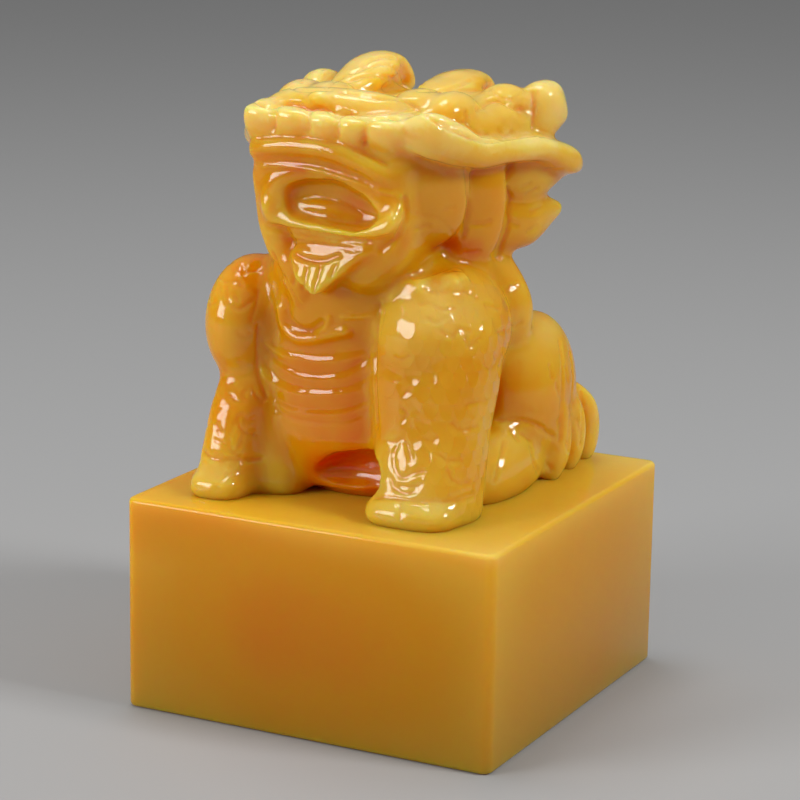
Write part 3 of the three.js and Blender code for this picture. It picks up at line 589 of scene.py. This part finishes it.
# %% [markdown]
# ## One stone
# The masses overlap, as a clay sketch would. A voxel remesh keeps only their outer skin as one even
# mesh, the hollows are taken out with a boolean, and a light smoothing rounds every edge as polish does.

# %% Modifiers that change the whole stone
def keep_result(item):
    """Replaces an object's mesh by the result of its modifiers."""
    done = bpy.data.meshes.new_from_object(item.evaluated_get(bpy.context.evaluated_depsgraph_get()))
    item.modifiers.clear()
    item.data = done
    return item


def object_from(name, bm):
    """Makes a bmesh an object of the scene."""
    mesh = bpy.data.meshes.new(name)
    bm.to_mesh(mesh)
    bm.free()
    item = bpy.data.objects.new(name, mesh)
    scene.collection.objects.link(item)
    return item


def fuse(item, size):
    """Keeps the outer skin, in voxels of a size in millimetres."""
    remesh = item.modifiers.new("fuse", "REMESH")
    remesh.mode = "VOXEL"
    remesh.voxel_size = size * MM
    return keep_result(item)


def polish(item, rounds, factor):
    smooth = item.modifiers.new("polish", "SMOOTH")
    smooth.factor = factor
    smooth.iterations = rounds
    return keep_result(item)


def boolean(item, other, operation, solver):
    """Cuts other out of item or joins it on, and removes other."""
    step = item.modifiers.new(operation.lower(), "BOOLEAN")
    step.operation = operation
    step.solver = solver
    step.use_self = solver == "EXACT"
    step.object = other
    keep_result(item)
    bpy.data.objects.remove(other)


# %% Soft creases
def skin(item):
    """The places and outward directions of an object's points."""
    mesh = item.data
    co = np.empty(len(mesh.vertices) * 3)
    mesh.vertices.foreach_get("co", co)
    normal = np.empty(len(mesh.vertices) * 3)
    mesh.vertex_normals.foreach_get("vector", normal)
    return co.reshape(-1, 3), normal.reshape(-1, 3)


def swell(item, distance):
    """Moves the skin outwards by millimetres."""
    places, normals = skin(item)
    item.data.vertices.foreach_set("co", (places + normals * distance * MM).ravel())
    item.data.update()


def soften_creases(item, radius, grain):
    """Swells the form, fuses it and shrinks it back, which leaves a fillet in every crease."""
    swell(item, radius)
    fuse(item, grain)
    swell(item, -radius)
    return fuse(item, grain)



# %% Fuse the body, then the body with its details
COARSE, MEDIUM, GRAIN = 0.45, 0.42, 0.34
BODY_FILLET, DETAIL_FILLET = 0.9, 0.2
rough = soften_creases(fuse(object_from("rough_body", bulk), COARSE), BODY_FILLET, MEDIUM)
trim.from_mesh(rough.data)
bpy.data.objects.remove(rough)
beast = soften_creases(fuse(object_from("rough_beast", trim), GRAIN), DETAIL_FILLET, GRAIN)
print("with soft creases", len(beast.data.vertices), "points")


# %% The mouth, the cave under the belly and the tongue
def carve_hollows(stone):
    mouth = ((280, 201), (306, 201), (331, 204), (355, 213), (377, 222))
    mass(stone, [seen(px, py, y=-18.8) for px, py in mouth], [2.2, 2.6, 2.8, 2.4, 1.2], [2.5] * 5,
         up=FRONT, blunt=4, square=3)
    cave = ((306, 478), (338, 475), (372, 477), (400, 481))
    mass(stone, [seen(px, py, y=-14.5) for px, py in cave], [1.7, 2.8, 3.3, 3], [3.6, 4.4, 4.4, 3.8],
         up=FRONT, blunt=3, square=2.6)


def carve_tongue(stone):
    mass(stone, seen_line(((282, 207, -15.6), (325, 210, -15.8), (368, 221, -15.6))),
         [1.1, 1.3, 0.9], [1.1, 1.3, 1.1], up=FRONT, blunt=5, square=3)


hollow_stone, whole_stone = bmesh.new(), bmesh.new()
carve_hollows(hollow_stone)
boolean(beast, fuse(object_from("hollows", hollow_stone), GRAIN), "DIFFERENCE", "MANIFOLD")
whole_stone.from_mesh(beast.data)
carve_tongue(whole_stone)
bpy.data.objects.remove(beast)
beast = polish(fuse(object_from("carved_beast", whole_stone), GRAIN), 2, 0.5)
print("beast", len(beast.data.vertices), "points", len(beast.data.polygons), "faces")

# %% [markdown]
# ## Fine cuts
# The engraver's lines are drawn over the finished form. Each line is a few points in the photograph's
# own frame; rays from the camera carry them onto the stone, and the skin is pressed in along them. The
# lines on the beast's left side are mirrored, a little lighter, on its right.

# %% The engraving tools
STEP_PX = 1.5
FAR_SIDE = 0.6


def search_tree(item):
    """An object's faces, sorted so that rays find them."""
    return BVHTree.FromPolygons([Vector(p) for p in skin(item)[0]], [tuple(p.vertices) for p in item.data.polygons])


places, normals = skin(beast)
press = np.zeros(len(places))
tree = search_tree(beast)


def onto_stone(px, py):
    """Where the camera's ray through a point of the photograph's frame meets the stone."""
    return tree.ray_cast(EYE, ray_through(px, py).normalized())[0]


def traced(line):
    """Points on the stone under a smooth line of the photograph's frame."""
    path = [Vector((x, y, 0)) for x, y in line]
    length = sum((b - a).length for a, b in zip(path, path[1:]))
    count = max(2, int(length / STEP_PX))
    hits = [onto_stone(*along(path, i / count)[:2]) for i in range(count + 1)]
    return [h for h in hits if h]


def mirrored(points):
    """The same line on the beast's other side."""
    across = [Vector((2 * BODY.x * MM - p.x, p.y, p.z)) for p in points]
    return [tree.find_nearest(p)[0] for p in across]


# %% Pressing a line in
def engrave(points, width, depth):
    """Presses the skin in along a line; a negative depth raises a bead. Deeper lines win."""
    if not points:
        return
    line = np.array([tuple(p) for p in points])
    reach = width * MM / 2
    near = np.all((places > line.min(0) - reach) & (places < line.max(0) + reach), axis=1).nonzero()[0]
    if not len(near):
        return
    gap = np.min(np.linalg.norm(places[near, None] - line[None], axis=2), axis=1) / reach
    shape = np.where(gap < 1, (1 - np.minimum(gap, 1) ** 2) ** 2, 0) * depth * MM
    press[near] = np.where(np.abs(shape) > np.abs(press[near]), shape, press[near])


def line_cut(line, width, depth, both=False):
    """Cuts a line of the photograph's frame, and its mirror image more lightly when both is set."""
    points = traced(line)
    engrave(points, width, depth)
    if both:
        engrave(mirrored(points), width, depth * FAR_SIDE)


def tell_cuts(name):
    print(name, "cut:", int((press != 0).sum()), "points pressed, deepest", round(press.max() / MM, 2), "mm")


# %% Cuts on the face
for x, top, low in ((275, 108, 128), (309, 112, 131), (338, 118, 137), (366, 122, 144)):
    line_cut([(x, top), (x - 1, (top + low) / 2), (x - 1, low)], 1.0, 0.45)
FACE_LINES = (
    (((258, 102), (268, 107), (278, 107), (288, 104), (300, 106), (309, 110), (321, 109), (331, 112), (338, 116),
      (350, 114), (361, 118), (372, 119), (386, 117), (397, 119)), 1.0, 0.6),
    (((258, 138), (290, 136), (330, 141), (360, 150), (388, 164)), 1.0, 0.3),
    (((261, 166), (285, 166), (309, 169), (326, 173), (355, 182), (378, 190), (401, 196)), 0.8, -0.3),
    (((405, 199), (407, 212), (402, 227), (395, 239), (381, 250)), 1.3, 0.35),
    (((268, 233), (300, 237), (326, 241), (366, 247)), 0.7, -0.25),
    (((266, 225), (300, 230), (335, 236), (370, 241)), 0.9, 0.25),
    (((292, 252), (306, 259), (322, 261), (338, 256)), 1.2, 0.35),
    (((295, 268), (293, 284)), 0.75, 0.4), (((307, 269), (302, 289)), 0.75, 0.4),
    (((320, 268), (313, 291)), 0.75, 0.4), (((336, 265), (330, 277)), 0.75, 0.4),
    (((272, 252), (288, 286), (300, 307)), 0.8, 0.35))
for line, width, depth in FACE_LINES:
    line_cut(line, width, depth)
tell_cuts("face")

# %% Cuts on the crown, brow band and side of the head
SIDE_LINES = (
    (((345, 92), (372, 97), (396, 99), (412, 104), (430, 118), (447, 127), (462, 134), (480, 140),
      (496, 141)), 0.9, 0.45),
    (((346, 82), (366, 76), (388, 76), (402, 84)), 1.0, 0.4),
    (((352, 73), (370, 66), (388, 64), (399, 70)), 0.9, 0.35),
    (((362, 66), (376, 58), (392, 57)), 0.8, 0.3),
    (((326, 88), (333, 82), (341, 78)), 0.8, 0.3), (((420, 91), (445, 90), (468, 90), (490, 89)), 0.8, 0.35),
    (((446, 90), (458, 86), (471, 80)), 0.7, 0.3), (((490, 90), (500, 97), (512, 100)), 0.7, 0.3),
    (((477, 110), (488, 102), (500, 101), (511, 107), (522, 109)), 0.9, 0.4),
    (((532, 92), (533, 110), (533, 128)), 0.9, 0.4), (((512, 100), (520, 95), (526, 90)), 0.7, 0.25),
    (((440, 122), (453, 125), (465, 120)), 0.8, 0.3), (((466, 112), (468, 124), (476, 132), (488, 134)), 0.9, 0.35),
    (((498, 130), (505, 136), (513, 131)), 0.8, 0.3), (((402, 129), (410, 135), (418, 137)), 0.6, 0.2),
    (((419, 113), (433, 122), (460, 134)), 0.8, -0.2), (((491, 146), (515, 141), (538, 138)), 0.9, -0.2),
    (((467, 168), (468, 190), (468, 212), (464, 236)), 1.1, 0.45),
    (((513, 163), (507, 176), (507, 190), (511, 198), (508, 210), (509, 224), (503, 242), (498, 258)), 1.0, 0.4),
    (((470, 224), (480, 224), (491, 222)), 0.8, 0.25), (((466, 253), (480, 252)), 0.8, 0.25),
    (((412, 229), (430, 226)), 0.6, 0.2), (((444, 210), (455, 208)), 0.6, 0.2),
    (((402, 214), (425, 216), (442, 222), (456, 238)), 0.6, 0.15),
    (((522, 188), (531, 184)), 0.7, 0.3), (((528, 194), (538, 189)), 0.7, 0.3), (((531, 212), (542, 207)), 0.8, 0.3),
    (((528, 232), (537, 227)), 0.7, 0.3), (((509, 221), (518, 225)), 0.8, 0.3), (((545, 170), (562, 168)), 0.6, 0.2))
for line, width, depth in SIDE_LINES:
    line_cut(line, width, depth, both=True)
tell_cuts("crown and sides")

# %% Cuts on the chest
line_cut([(281, 308), (284, 324), (294, 336), (308, 339), (324, 336), (345, 331)], 2.2, -0.6)
line_cut([(329, 318), (326, 327), (318, 333)], 1.3, -0.3)
CHEST_LINES = (
    (((286, 300), (290, 318), (300, 328), (312, 330), (322, 322)), 1.6, 0.3),
    (((258, 333), (270, 352), (295, 369), (320, 373), (345, 370), (368, 357)), 1.5, 0.14),
    (((266, 345), (282, 355), (300, 359), (322, 362), (345, 360), (362, 356)), 1.3, -0.14),
    (((259, 352), (272, 372), (297, 385), (322, 388), (348, 386), (370, 374)), 1.4, 0.1),
    (((262, 372), (282, 390), (302, 395), (332, 395), (358, 391)), 1.0, -0.08),
    (((260, 378), (276, 398), (300, 407), (325, 409), (350, 406), (372, 396)), 1.4, 0.1),
    (((270, 404), (290, 417), (315, 422), (345, 420), (368, 412)), 1.0, 0.1),
    (((258, 328), (257, 350), (258, 372), (266, 398)), 1.0, 0.35),
    (((379, 305), (376, 340), (375, 380), (377, 425)), 1.1, 0.4),
    (((258, 290), (256, 304), (251, 320)), 0.7, 0.22), (((385, 302), (383, 316), (380, 334)), 0.6, 0.2),
    (((342, 317), (356, 317), (371, 316)), 0.9, -0.25))
for line, width, depth in CHEST_LINES:
    line_cut(line, width, depth)
tell_cuts("chest")

# %% Cuts on the shoulders and forelegs
LEG_LINES = (
    ((227, 287), (227, 299), (233, 306), (241, 308), (250, 302), (253, 299)), ((234, 294), (238, 300)),
    ((243, 264), (245, 272)), ((246, 271), (257, 270)), ((238, 416), (239, 426), (246, 433), (255, 434)),
    ((229, 440), (230, 449), (236, 455), (241, 456)), ((230, 396), (236, 401)), ((216, 425), (220, 434)),
    ((252, 388), (256, 396), (262, 401)), ((391, 478), (394, 487), (403, 493), (413, 492), (420, 484)),
    ((400, 486), (408, 487), (414, 485)), ((400, 500), (400, 519)), ((452, 424), (462, 430), (477, 426)),
    ((439, 455), (448, 461), (462, 461)), ((448, 470), (452, 480), (462, 484), (470, 482)),
    ((402, 436), (395, 450), (394, 466), (402, 478), (413, 473), (424, 471)), ((402, 437), (408, 448), (411, 460)),
    ((466, 405), (476, 402), (488, 401)), ((402, 408), (406, 414), (403, 421)), ((385, 440), (393, 443), (398, 440)),
    ((425, 440), (432, 441), (437, 437)), ((394, 357), (402, 360), (409, 356)), ((405, 393), (411, 390)),
    ((424, 289), (436, 292), (448, 291)), ((462, 291), (470, 293), (477, 298)),
    ((420, 304), (430, 303), (440, 309), (454, 308)), ((428, 319), (436, 322), (446, 317)),
    ((440, 331), (452, 336), (460, 329), (470, 332)), ((463, 330), (470, 345), (481, 337)),
    ((484, 305), (500, 308)), ((498, 332), (510, 329), (522, 322)), ((484, 364), (490, 369), (497, 362)),
    ((504, 296), (510, 288), (517, 284)), ((494, 356), (504, 357)))
NEAR_LEG_PX = 380
for line in LEG_LINES:
    line_cut(line, 0.7, 0.26, both=line[0][0] > NEAR_LEG_PX)
line_cut([(391, 298), (397, 287), (410, 282), (428, 279), (446, 272), (458, 270), (468, 280)], 1.0, -0.2)
line_cut([(203, 452), (214, 459), (240, 460), (262, 459)], 0.9, 0.4)
line_cut([(376, 497), (400, 499), (430, 501), (456, 500), (474, 494)], 1.0, 0.3)
tell_cuts("legs")

# %% Cuts on the haunch and hind paw
HAUNCH_LINES = (
    ((560, 342), (563, 370), (562, 400), (560, 440)), ((570, 352), (573, 376), (571, 404), (569, 446)),
    ((581, 392), (583, 414), (581, 446)), ((550, 366), (553, 378)), ((566, 368), (568, 380)),
    ((557, 384), (560, 395)), ((572, 396), (573, 408)), ((559, 420), (562, 430)), ((578, 420), (580, 432)),
    ((567, 444), (570, 454)), ((504, 442), (501, 460), (495, 480)), ((531, 448), (534, 462), (539, 472)),
    ((512, 432), (518, 440)), ((522, 434), (530, 440)), ((538, 428), (554, 437)), ((546, 462), (552, 470)),
    ((498, 420), (524, 421), (544, 428)))
for line in HAUNCH_LINES:
    line_cut(line, 0.9, 0.32, both=True)
tell_cuts("haunches")

# %% Press the skin and polish it again
FACE_LIMIT = 196000


def shade_smooth(item):
    for face in item.data.polygons:
        face.use_smooth = True


places -= normals * press[:, None]
beast.data.vertices.foreach_set("co", places.ravel())
polish(beast, 1, 0.4)
thinning = beast.modifiers.new("thin out", "DECIMATE")
thinning.ratio = FACE_LIMIT / (2 * len(beast.data.polygons))
keep_result(beast)
shade_smooth(beast)
print("beast", len(beast.data.vertices), "points", len(beast.data.polygons), "faces")

# %% [markdown]
# ## Painted light and shade
# The stone's colour paints light and shade: it is paler where the stone is thin, as painted light let through, and
# where it is open above, as painted light from overhead, and deeper in its hollows, as painted shade. All three are
# measured on the carving: rays sent inwards give its thickness, and rays sent out count what they miss.

# %% Measure thickness and shelter
MEASURES = ("thin", "painted_hollow_shade", "painted_sky_light")
DEEP, OPEN, OFF_SKIN = 15 * MM, 20 * MM, 0.2 * MM
INWARD, OUTWARD, FULL_SKY = 1.4, 1.05, 0.72
NEIGHBOURS, BLUR = 6, 0.3 * MM


def probe(tree, ways, p, up):
    """How thin the stone is at a point, how sheltered and how open to light from above, each from 0 to 1."""
    through, met, above = 0, 0, 0
    for way in ways:
        inward = tree.ray_cast(p - up * OFF_SKIN, (way - up * INWARD).normalized(), DEEP)[3]
        through += (inward if inward is not None else DEEP) / DEEP
        outward = (way + up * OUTWARD).normalized()
        blocked = tree.ray_cast(p + up * OFF_SKIN, outward, OPEN)[0] is not None
        met += blocked
        above += 0 if blocked else max(outward.z, 0) / FULL_SKY
    return 1 - through / len(ways), met / len(ways), min(above / len(ways), 1)


def measure_depth(item, samples=9000, rays=16):
    """Probes some points and spreads what was found to the rest, as three point attributes."""
    co, normal = skin(item)
    tree = search_tree(item)
    rng = random.Random(7)
    chosen = rng.sample(range(len(co)), min(samples, len(co)))
    ways = [Vector((rng.gauss(0, 1), rng.gauss(0, 1), rng.gauss(0, 1))).normalized() for _ in range(rays)]
    index = KDTree(len(chosen))
    probed = []
    for n, i in enumerate(chosen):
        index.insert(co[i], n)
        probed.append(probe(tree, ways, Vector(co[i]), Vector(normal[i])))
    index.balance()
    spread = np.empty((len(co), len(MEASURES)))
    for i, p in enumerate(co):
        found = index.find_n(p, NEIGHBOURS)
        weights = [1 / (d + BLUR) for _, _, d in found]
        for k in range(len(MEASURES)):
            spread[i, k] = sum(probed[n][k] * w for (_, n, _), w in zip(found, weights)) / sum(weights)
    for key, data in zip(MEASURES, spread.T):
        attribute = item.data.attributes.new(key, "FLOAT", "POINT")
        attribute.data.foreach_set("value", data.copy())
        print(key, "at 10, 50 and 90 %:", [round(float(v), 2) for v in np.percentile(data, (10, 50, 90))])


measure_depth(beast)

# %% [markdown]
# ## The block
# A cube drawn out to 50 x 50 x 27 mm, its upright edges rounded and its rims eased. Underneath, a panel
# is sunk inside a border, and four square spirals stand in it: a common key fret, which carries no words.

# %% Block
BLOCK, TALL = 50, 27
CORNER_ROUND, RIM_ROUND = 1.3, 0.6


def bar(bm, x0, y0, x1, y1, z0, z1):
    """Adds a straight bar between two corners."""
    size = Vector((abs(x1 - x0), abs(y1 - y0), z1 - z0))
    middle = Vector(((x0 + x1) / 2, (y0 + y1) / 2, (z0 + z1) / 2))
    bmesh.ops.create_cube(bm, size=1, matrix=Matrix.Translation(middle * MM) @ Matrix.Diagonal((*(size * MM), 1)))


def is_upright(edge):
    return abs(edge.verts[0].co.z - edge.verts[1].co.z) > MM


def is_rim(edge):
    """A level edge between faces that look different ways."""
    return not is_upright(edge) and len({round(f.normal.z, 2) for f in edge.link_faces}) > 1


def round_edges(bm, chosen, radius, segments):
    bmesh.ops.bevel(bm, geom=[e for e in bm.edges if chosen(e)], offset=radius * MM, segments=segments,
                    profile=0.5, affect="EDGES", material=-1)


block_stone = bmesh.new()
bar(block_stone, -BLOCK / 2, -BLOCK / 2, BLOCK / 2, BLOCK / 2, 0, TALL)
round_edges(block_stone, is_upright, CORNER_ROUND, 6)
round_edges(block_stone, is_rim, RIM_ROUND, 4)
block = object_from("printing_block", block_stone)
print("block", [round(v / MM, 1) for v in block.dimensions], "mm")

# %% Printing face
RELIEF, BORDER, LINE, GAP = 0.8, 2.6, 1.7, 2.3
PANEL_EDGE = BLOCK / 2 - BORDER


def spiral_bars(bm, sx, sy):
    """One square spiral in a quarter of the panel, tied to the border."""
    left, right, low, high = GAP / 2, PANEL_EDGE - GAP, GAP / 2, PANEL_EDGE - GAP

    def stroke(x0, y0, x1, y1):
        bar(bm, sx * x0, sy * y0, sx * x1, sy * y1, 0, RELIEF + 0.4)

    stroke(left, high - LINE, left + LINE, PANEL_EDGE + 1)
    while right - left > 2 * LINE and high - low > 2 * LINE:
        stroke(left, high - LINE, right, high)
        stroke(right - LINE, low, right, high)
        stroke(left, low, right, low + LINE)
        high -= LINE + GAP
        stroke(left, low, left + LINE, high)
        right -= LINE + GAP
        low += LINE + GAP
        stroke(left, high - LINE, right, high)
        left += LINE + GAP


panel_stone, fret_stone = bmesh.new(), bmesh.new()
bar(panel_stone, -PANEL_EDGE, -PANEL_EDGE, PANEL_EDGE, PANEL_EDGE, -1, RELIEF)
for sx in (1, -1):
    for sy in (1, -1):
        spiral_bars(fret_stone, sx, sy)
boolean(block, object_from("panel", panel_stone), "DIFFERENCE", "EXACT")
boolean(block, object_from("fret", fret_stone), "UNION", "EXACT")
shade_smooth(block)
block.data.set_sharp_from_angle(angle=math.radians(35))
print("block", len(block.data.polygons), "faces")

# %% [markdown]
# ## Honey stone
# The stone is a principled shader with a little light let in under its skin. Its colour runs from red
# brown in the deepest hollows, which is painted shade, through orange and honey to pale yellow on thin edges,
# which is painted light let through, broken by soft clouds. The polish is nearly a mirror, with faint waves left by
# the wheel.

class Stone:
    """A small kit for wiring one stone material."""

    def __init__(self, name, gloss, roughness, depth):
        """gloss and roughness are the polish, depth is how far red light travels inside, in millimetres."""
        self.material = bpy.data.materials.new(name)
        self.material.use_nodes = True
        self.nodes = self.material.node_tree.nodes
        self.links = self.material.node_tree.links
        self.shader = self.nodes["Principled BSDF"]
        dial(self.shader, {"Roughness": roughness, "IOR": 1.5, "Specular IOR Level": gloss, "Subsurface Weight": 1.0,
                           "Subsurface Radius": (1.0, 0.4, 0.1), "Subsurface Scale": depth * MM})

    def add(self, kind, values=None, **settings):
        node = self.nodes.new(kind)
        for key, value in settings.items():
            setattr(node, key, value)
        dial(node, values or {})
        return node

    def calc(self, operation, *values):
        node = self.add("ShaderNodeMath", operation=operation)
        for socket, value in zip(node.inputs, values):
            if isinstance(value, (int, float)):
                socket.default_value = value
            else:
                self.links.new(value, socket)
        return node.outputs[0]

    def plus(self, first, *others):
        for other in others:
            first = self.calc("ADD", first, other)
        return first

    def minus(self, first, other):
        return self.calc("SUBTRACT", first, other)

    def times(self, first, other):
        return self.calc("MULTIPLY", first, other)

    def over(self, first, other):
        return self.calc("DIVIDE", first, other)

    def measured(self, name):
        """What was measured on the carving at this place."""
        return self.add("ShaderNodeAttribute", attribute_name=name).outputs["Fac"]

    def place(self):
        """The sockets of the place in the stone, in metres."""
        split = self.add("ShaderNodeSeparateXYZ")
        self.links.new(self.add("ShaderNodeTexCoord").outputs["Object"], split.inputs["Vector"])
        return split.outputs

    def mapped(self, values, **settings):
        """The place in the stone after a Mapping node."""
        mapping = self.add("ShaderNodeMapping", values, **settings)
        self.links.new(self.add("ShaderNodeTexCoord").outputs["Object"], mapping.inputs["Vector"])
        return mapping.outputs["Vector"]


# %% Patterns in the stone
def noise(kit, scale, detail, stretch=(1, 1, 1)):
    node = kit.add("ShaderNodeTexNoise", {"Scale": scale, "Detail": detail})
    kit.links.new(kit.mapped({"Scale": stretch}), node.inputs["Vector"])
    return node.outputs["Fac"]


def eased(kit, value, low, high, top=1):
    """0 below low, top above high and a smooth rise between."""
    node = kit.add("ShaderNodeMapRange", {"From Min": low, "From Max": high, "To Max": top},
                   interpolation_type="SMOOTHSTEP")
    kit.links.new(value, node.inputs["Value"])
    return node.outputs["Result"]


def cloud(kit, centre, radii):
    """1 in the heart of a soft patch of the stone, 0 outside it; both in millimetres."""
    ball = kit.add("ShaderNodeTexGradient", gradient_type="SPHERICAL")
    within = kit.mapped({"Location": [c * MM for c in centre], "Scale": [r * MM for r in radii]},
                        vector_type="TEXTURE")
    kit.links.new(within, ball.inputs["Vector"])
    return eased(kit, ball.outputs["Fac"], 0, 0.8)


def scales(kit, wide, tall):
    """Rows of round-ended scales, from 0 under a scale's root to 1 at its lip."""
    place = kit.place()
    out = kit.calc("ABSOLUTE", kit.minus(place["X"], BODY.x * MM))
    round_leg = kit.over(kit.plus(out, place["Y"]), wide * MM)
    row = kit.over(place["Z"], tall * MM)
    shift = kit.times(kit.calc("MODULO", kit.calc("FLOOR", row), 2), 0.5)
    across = kit.minus(kit.calc("FRACT", kit.plus(round_leg, shift)), 0.5)
    below = kit.minus(1, kit.calc("FRACT", row))
    reach = kit.calc("SQRT", kit.plus(kit.calc("POWER", kit.calc("ABSOLUTE", across), 2),
                                      kit.times(kit.calc("POWER", below, 2), 0.25)))
    return kit.times(kit.calc("LESS_THAN", reach, 0.5), kit.calc("POWER", kit.times(reach, 2), 2))


# %% Colour and polish
HONEY_STOPS = ((0.0, (232, 66, 0)), (0.2, (216, 110, 0)), (0.42, (218, 148, 6)), (0.64, (222, 172, 44)),
               (0.85, (228, 192, 92)), (1.0, (236, 208, 126)))


def linear(red, green, blue):
    """A screen colour from 0 to 255 as the shader's linear colour."""
    return [((c / 255 + 0.055) / 1.055) ** 2.4 if c > 10 else c / 255 / 12.92 for c in (red, green, blue)] + [1]


def honey(kit, tone):
    """The stone's colour for a tone from 0, deep, to 1, pale."""
    ramp = kit.add("ShaderNodeValToRGB")
    ramp.color_ramp.interpolation = "EASE"
    stops = ramp.color_ramp.elements
    while len(stops) < len(HONEY_STOPS):
        stops.new(0.5)
    for stop, (place, colour) in zip(stops, HONEY_STOPS):
        stop.position = place
        stop.color = linear(*colour)
    kit.links.new(tone, ramp.inputs["Fac"])
    return ramp.outputs["Color"]


def finish(kit, colour, relief=None):
    """Wires the colour, the polish's faint waves and a relief to the shader."""
    kit.links.new(colour, kit.shader.inputs["Base Color"])
    bump = kit.add("ShaderNodeBump", {"Strength": 1.0, "Distance": 0.4 * MM})
    height = kit.times(noise(kit, 420, 2), 0.08)
    kit.links.new(kit.plus(height, relief) if relief else height, bump.inputs["Height"])
    kit.links.new(bump.outputs["Normal"], kit.shader.inputs["Normal"])
    return kit.material


print("deepest colour", [round(c, 2) for c in linear(*HONEY_STOPS[0][1])])

# %% [markdown]
# The beast's stone is paler near the crown and clouded in soft patches, some of them painted light on the tops of
# the near shoulder and haunch and painted shade under the jaw and in the cave under the belly. Rows of low scales
# lie on the near shoulder and foreleg. The block's is duller, darker towards its foot as painted shade, and pale
# along its rims, partly its own colour and partly painted light.

# %% The beast's stone
# Soft patches of tone: the pale ones on the tops of the near shoulder and haunch are painted light from above, the
# deep ones under the jaw and in the cave under the belly are painted shade, and the rest are the stone's own
# clouding.
CLOUDS_AND_PAINTED_LIGHT_AND_SHADE = (((11, -16, 53), (14, 14, 9), 0.24),
          ((14, 10, 48), (11, 15, 10), 0.2),
          ((-6, -14, 36), (18, 14, 20), -0.14),
          ((3, -11, 56), (17, 13, 9), -0.14),
          ((0, -18, 62), (14, 8, 10), -0.06),
          ((-4, -19, 70), (14, 6, 5), -0.24),
          ((-1, -13, 29), (8, 9, 6), -0.3))
CROWN_FADE = 67 * MM, 75 * MM
SCALE_WIDE, SCALE_TALL, SCALE_RELIEF = 2.3, 1.9, 0.4
SCALED = (((13, -12, 47), (12, 15, 14)), ((16, -14, 36), (7, 10, 12)))


def beast_material():
    """Paler near the crown; painted light where the stone is thin or open above; painted shade in its hollows, under
    the jaw and in the cave under the belly; and a deeper patch on the chest between the forelegs.
    """
    kit = Stone("honey_stone", 0.42, 0.08, 9)
    thin, painted_hollow_shade, painted_sky_light = [kit.measured(name) for name in MEASURES]
    # Painted light: thin stone and places open above are made paler. Painted shade: sheltered hollows are made
    # deeper.
    tone = kit.plus(kit.times(kit.calc("MINIMUM", thin, 0.4), 0.65), 0.44, kit.times(painted_sky_light, 0.22))
    tone = kit.minus(tone, kit.times(painted_hollow_shade, 0.38))
    tone = kit.plus(tone, eased(kit, kit.place()["Z"], *CROWN_FADE, 0.27))
    for centre, radii, strength in CLOUDS_AND_PAINTED_LIGHT_AND_SHADE:
        tone = kit.plus(tone, kit.times(cloud(kit, centre, radii), strength))
    haze = kit.times(kit.minus(noise(kit, 60, 3), 0.5), 0.4)
    scaled = kit.calc("MAXIMUM", *[cloud(kit, centre, radii) for centre, radii in SCALED])
    relief = kit.times(scales(kit, SCALE_WIDE, SCALE_TALL), kit.times(scaled, SCALE_RELIEF))
    return finish(kit, honey(kit, kit.plus(tone, haze)), relief)


def dress(item, material):
    """Gives an object one material."""
    item.data.materials.clear()
    item.data.materials.append(material)
    print(material.name, "has", len(material.node_tree.nodes), "nodes")


dress(beast, beast_material())


# %% The block's stone
def block_material():
    """Deeper in the middle of each face and paler towards its edges, partly the stone's own colour and partly
    painted light let in at the rims; paler at the top as painted light from above; darker at the top's front left
    and towards the foot as painted shade.
    """
    kit = Stone("block_stone", 0.22, 0.14, 6)
    place = kit.place()
    out = [kit.calc("ABSOLUTE", kit.over(place[axis], BLOCK / 2 * MM)) for axis in "XY"]
    out.append(kit.calc("ABSOLUTE", kit.minus(kit.over(place["Z"], TALL / 2 * MM), 1)))
    # Paler towards every edge: partly the stone's own colour, partly painted light let in at the rims. Paler near
    # the top: painted light from above.
    rim = kit.plus(*[kit.calc("POWER", share, 3) for share in out])
    height = kit.over(place["Z"], TALL * MM)
    top = kit.times(kit.calc("POWER", height, 16), 0.16)
    haze = kit.times(kit.minus(noise(kit, 46, 5, (1, 1, 0.6)), 0.5), 0.15)
    tone = kit.plus(kit.times(kit.minus(rim, 1), 0.1), top, kit.plus(haze, 0.45))
    # A deeper middle on the front face, partly the stone's own colour and partly painted shade, and a darker patch
    # at the top's front left as painted shade.
    heart = kit.times(cloud(kit, (1, -25, 14), (26, 22, 15)), -0.12)
    heart = kit.minus(heart, kit.times(cloud(kit, (-21, -20, 27), (22, 24, 9)), 0.16))
    # Painted shade: darker towards the block's foot.
    foot = kit.times(kit.calc("POWER", kit.minus(1, height), 1.5), 0.36)
    shaded = kit.add("ShaderNodeVectorMath", operation="SCALE")
    kit.links.new(honey(kit, kit.plus(tone, heart)), shaded.inputs["Vector"])
    kit.links.new(kit.minus(0.96, foot), shaded.inputs["Scale"])
    return finish(kit, shaded.outputs["Vector"])


dress(block, block_material())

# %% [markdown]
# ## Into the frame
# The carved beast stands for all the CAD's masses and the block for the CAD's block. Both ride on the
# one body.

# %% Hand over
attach(beast, "root")
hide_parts(*[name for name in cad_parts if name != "seal_block"])
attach(block, "root")
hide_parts("seal_block")
